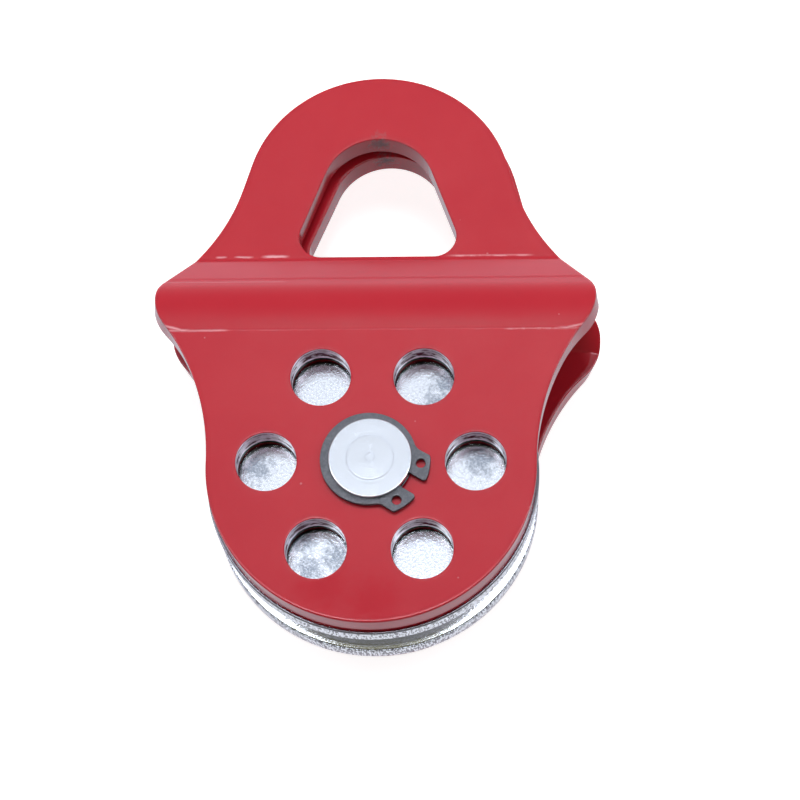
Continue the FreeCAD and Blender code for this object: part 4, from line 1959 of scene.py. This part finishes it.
@dataclass
class Studio:
    """The pale floor, the soft lamps, the surroundings and the camera."""

    floor_size: float = 6.0
    camera_place: Vector = field(default_factory=lambda: Vector((27.81, -148.02, 444.25)) * MM)
    camera_turn: tuple[float, float, float] = (22.11, 3.147, 0.907)
    lens: float = 94.85
    reflected: float = 1.33
    cool: Colour = (0.93, 1.0, 1.12)
    olive: Colour = (1.0, 0.95, 0.55)
    # A painted red bounce that shiny pieces see on the floor close by
    near: Colour = (0.52, 0.42, 0.46)
    lavender: Colour = (0.58, 0.60, 0.66)
    bright: Colour = (1.15, 1.25, 1.45)
    # A painted shadow that shiny pieces see on the floor just in front of the block
    dark_olive: Colour = (0.14, 0.15, 0.09)
    near_ends: Span = (3 * MM, 14 * MM)
    bright_starts: Span = (60 * MM, 160 * MM)
    front_line: Span = (-44 * MM, -47.5 * MM)
    front_reach: Span = (50 * MM, 70 * MM)
    floor_shade: float = 0.8
    seen_shade: float = 0.6
    seen_glow: float = 0.82
    sky: tuple[Span, ...] = (
        (0, 1.4),
        (4, 1.0),
        (10, 0.68),
        (14, 0.55),
        (20, 0.40),
        (30, 0.35),
        (38, 0.41),
        (46, 0.6),
        (52, 0.71),
        (62, 0.7),
        (67, 0.71),
        (76, 0.75),
        (84, 1.7),
        (93, 1.7),
        (96, 0.12),
        (155, 0.05),
        (166, 1.0),
    )
    strip_place: float = 89.0
    strip_edge: Span = (1.5, 3.5)
    strip_level: float = 9.0
    olive_starts: Span = (92, 97)
    olive_ends: Span = (145, 160)
    even_level: float = 0.34
    horizon: float = -0.02
    shift: tuple[float, float] = (0.0194, -0.0273)

    def build(self) -> None:
        """Sets the studio up."""
        self.lay_floor()
        self.light_surroundings()
        self.hang_lamps()
        self.aim_camera()
        bpy.context.scene.view_settings.view_transform = "Standard"

    def lay_floor(self) -> None:
        """Lays the floor."""
        mesh = bmesh.new()
        bmesh.ops.create_grid(mesh, x_segments=2, y_segments=2, size=self.floor_size / 2)
        floor = put_mesh("studio_floor", mesh, self.floor_material())

    def floor_material(self) -> bpy.types.Material:
        """Makes the floor's material, white with soft shadows to the camera.

        Shiny pieces see other tones in it: reddish where it lies close to them, a painted red bounce, then
        lavender, and bright further away, but dark olive just in front of the block, a painted shadow.

        Returns:
            The material.
        """
        material = bpy.data.materials.new("floor_white")
        graph = empty_graph(material)
        path = graph.add("ShaderNodeLightPath").outputs
        seen = graph.larger(path["Is Camera Ray"], path["Is Transmission Ray"])
        plain = graph.add("ShaderNodeBsdfDiffuse", {"Color": grey(self.floor_shade)})
        half = graph.add("ShaderNodeBsdfDiffuse", {"Color": grey(self.seen_shade)})
        glow = graph.add("ShaderNodeEmission", {"Color": grey(1.0), "Strength": self.seen_glow})
        white = graph.add("ShaderNodeAddShader", {0: half.outputs[0], 1: glow.outputs[0]})
        mixed = graph.add("ShaderNodeMixShader", {0: seen, 1: plain.outputs[0], 2: white.outputs[0]})
        away = path["Ray Length"]
        # Reflections see a painted red bounce close by, then lavender
        tone = graph.blend(graph.spread(away, *self.near_ends), opaque(self.near), opaque(self.lavender))
        tone = graph.blend(graph.spread(away, *self.bright_starts), tone, opaque(self.bright))
        place = graph.add("ShaderNodeTexCoord").outputs["Object"]
        # and a painted shadow just in front of the block
        in_front = graph.spread(graph.part(place, 1), *self.front_line)
        close = graph.spread(away, *self.front_reach, 1.0, 0.0)
        tone = graph.blend(graph.times(in_front, close), tone, opaque(self.dark_olive))
        mirrored = graph.add("ShaderNodeEmission", {"Color": tone, "Strength": self.reflected})
        choice = {0: path["Is Glossy Ray"], 1: mixed.outputs[0], 2: mirrored.outputs[0]}
        whole = graph.add("ShaderNodeMixShader", choice)
        graph.add("ShaderNodeOutputMaterial", {"Surface": whole.outputs[0]})
        return material

    def light_surroundings(self) -> None:
        """Surrounds the block with an even light, which shiny pieces see as long bands along X.

        A band's place is its angle about X in degrees, from +Y at 0 over the top to -Y at 180.
        """
        world = bpy.data.worlds.new("studio_surroundings")
        bpy.context.scene.world = world
        graph = empty_graph(world)
        path = graph.add("ShaderNodeLightPath").outputs
        direction = graph.add("ShaderNodeTexCoord").outputs["Generated"]
        parts = graph.add("ShaderNodeSeparateXYZ", {0: direction}).outputs
        share = graph.math("DIVIDE", graph.math("ARCTAN2", parts[2], parts[1]), math.pi)
        bands = graph.ramp(share, [(degrees / HALF_TURN, level) for degrees, level in self.sky])
        off = graph.math("ABSOLUTE", graph.minus(share, self.strip_place / HALF_TURN))
        strip = self.fade(graph, off, self.strip_edge, self.strip_level, 0.0)
        bands = graph.blend(1.0, bands, strip, "ADD")
        bands = graph.blend(1.0, bands, grey(self.reflected), "MULTIPLY")
        rising = self.fade(graph, share, self.olive_starts, 0.0, 1.0)
        olive_share = graph.times(rising, self.fade(graph, share, self.olive_ends, 1.0, 0.0))
        tint = graph.blend(olive_share, opaque(self.cool), opaque(self.olive))
        bands = graph.blend(1.0, bands, tint, "MULTIPLY")
        below = graph.spread(parts[2], self.horizon, 0.0, 1.0, 0.0)
        glossy = graph.blend(below, bands, opaque(self.cool))
        even = graph.blend(path["Is Glossy Ray"], grey(self.even_level), glossy)
        shown = graph.blend(path["Is Camera Ray"], even, grey(1.0))
        back = graph.add("ShaderNodeBackground", {"Color": shown, "Strength": 1.0})
        graph.add("ShaderNodeOutputWorld", {"Surface": back.outputs[0]})

    @staticmethod
    def fade(graph: Graph, share: Socket, degrees: Span, first: float, last: float) -> Socket:
        """Fades from one value to another between two angles, over a share of a half turn."""
        start, end = (angle / HALF_TURN for angle in degrees)
        return graph.spread(share, start, end, first, last)

    def hang_lamps(self) -> None:
        """Hangs the soft lamps: one by the camera, one over the eyes and one on each side."""
        lamps = (
            SoftLamp("front_softbox", Vector((0.0, -0.45, 1.2)), size=0.5, watts=0.6),
            SoftLamp("top_softbox", Vector((0.0, 0.26, 0.56)), size=0.25, watts=2.45),
            SoftLamp("left_softbox", Vector((-1.0, 0.4, 0.9)), size=0.6, watts=2.0),
            SoftLamp("right_softbox", Vector((1.0, 0.4, 0.9)), size=0.6, watts=2.0),
        )
        for lamp in lamps:
            lamp.hang()

    def aim_camera(self) -> None:
        """Puts the camera where the photo was taken from."""
        data = bpy.data.cameras.new("camera")
        data.lens = self.lens
        data.sensor_width = 36.0
        data.shift_x, data.shift_y = self.shift
        data.clip_start = 0.01
        camera = put("camera", data)
        camera.location = self.camera_place
        camera.rotation_euler = [math.radians(angle) for angle in self.camera_turn]
        bpy.context.scene.camera = camera


def main() -> None:
    """Builds the block and the studio."""
    logging.basicConfig(level=logging.INFO, format="%(name)s: %(message)s")
    Block().build()
    Studio().build()


if __name__ == "__main__":
    main()
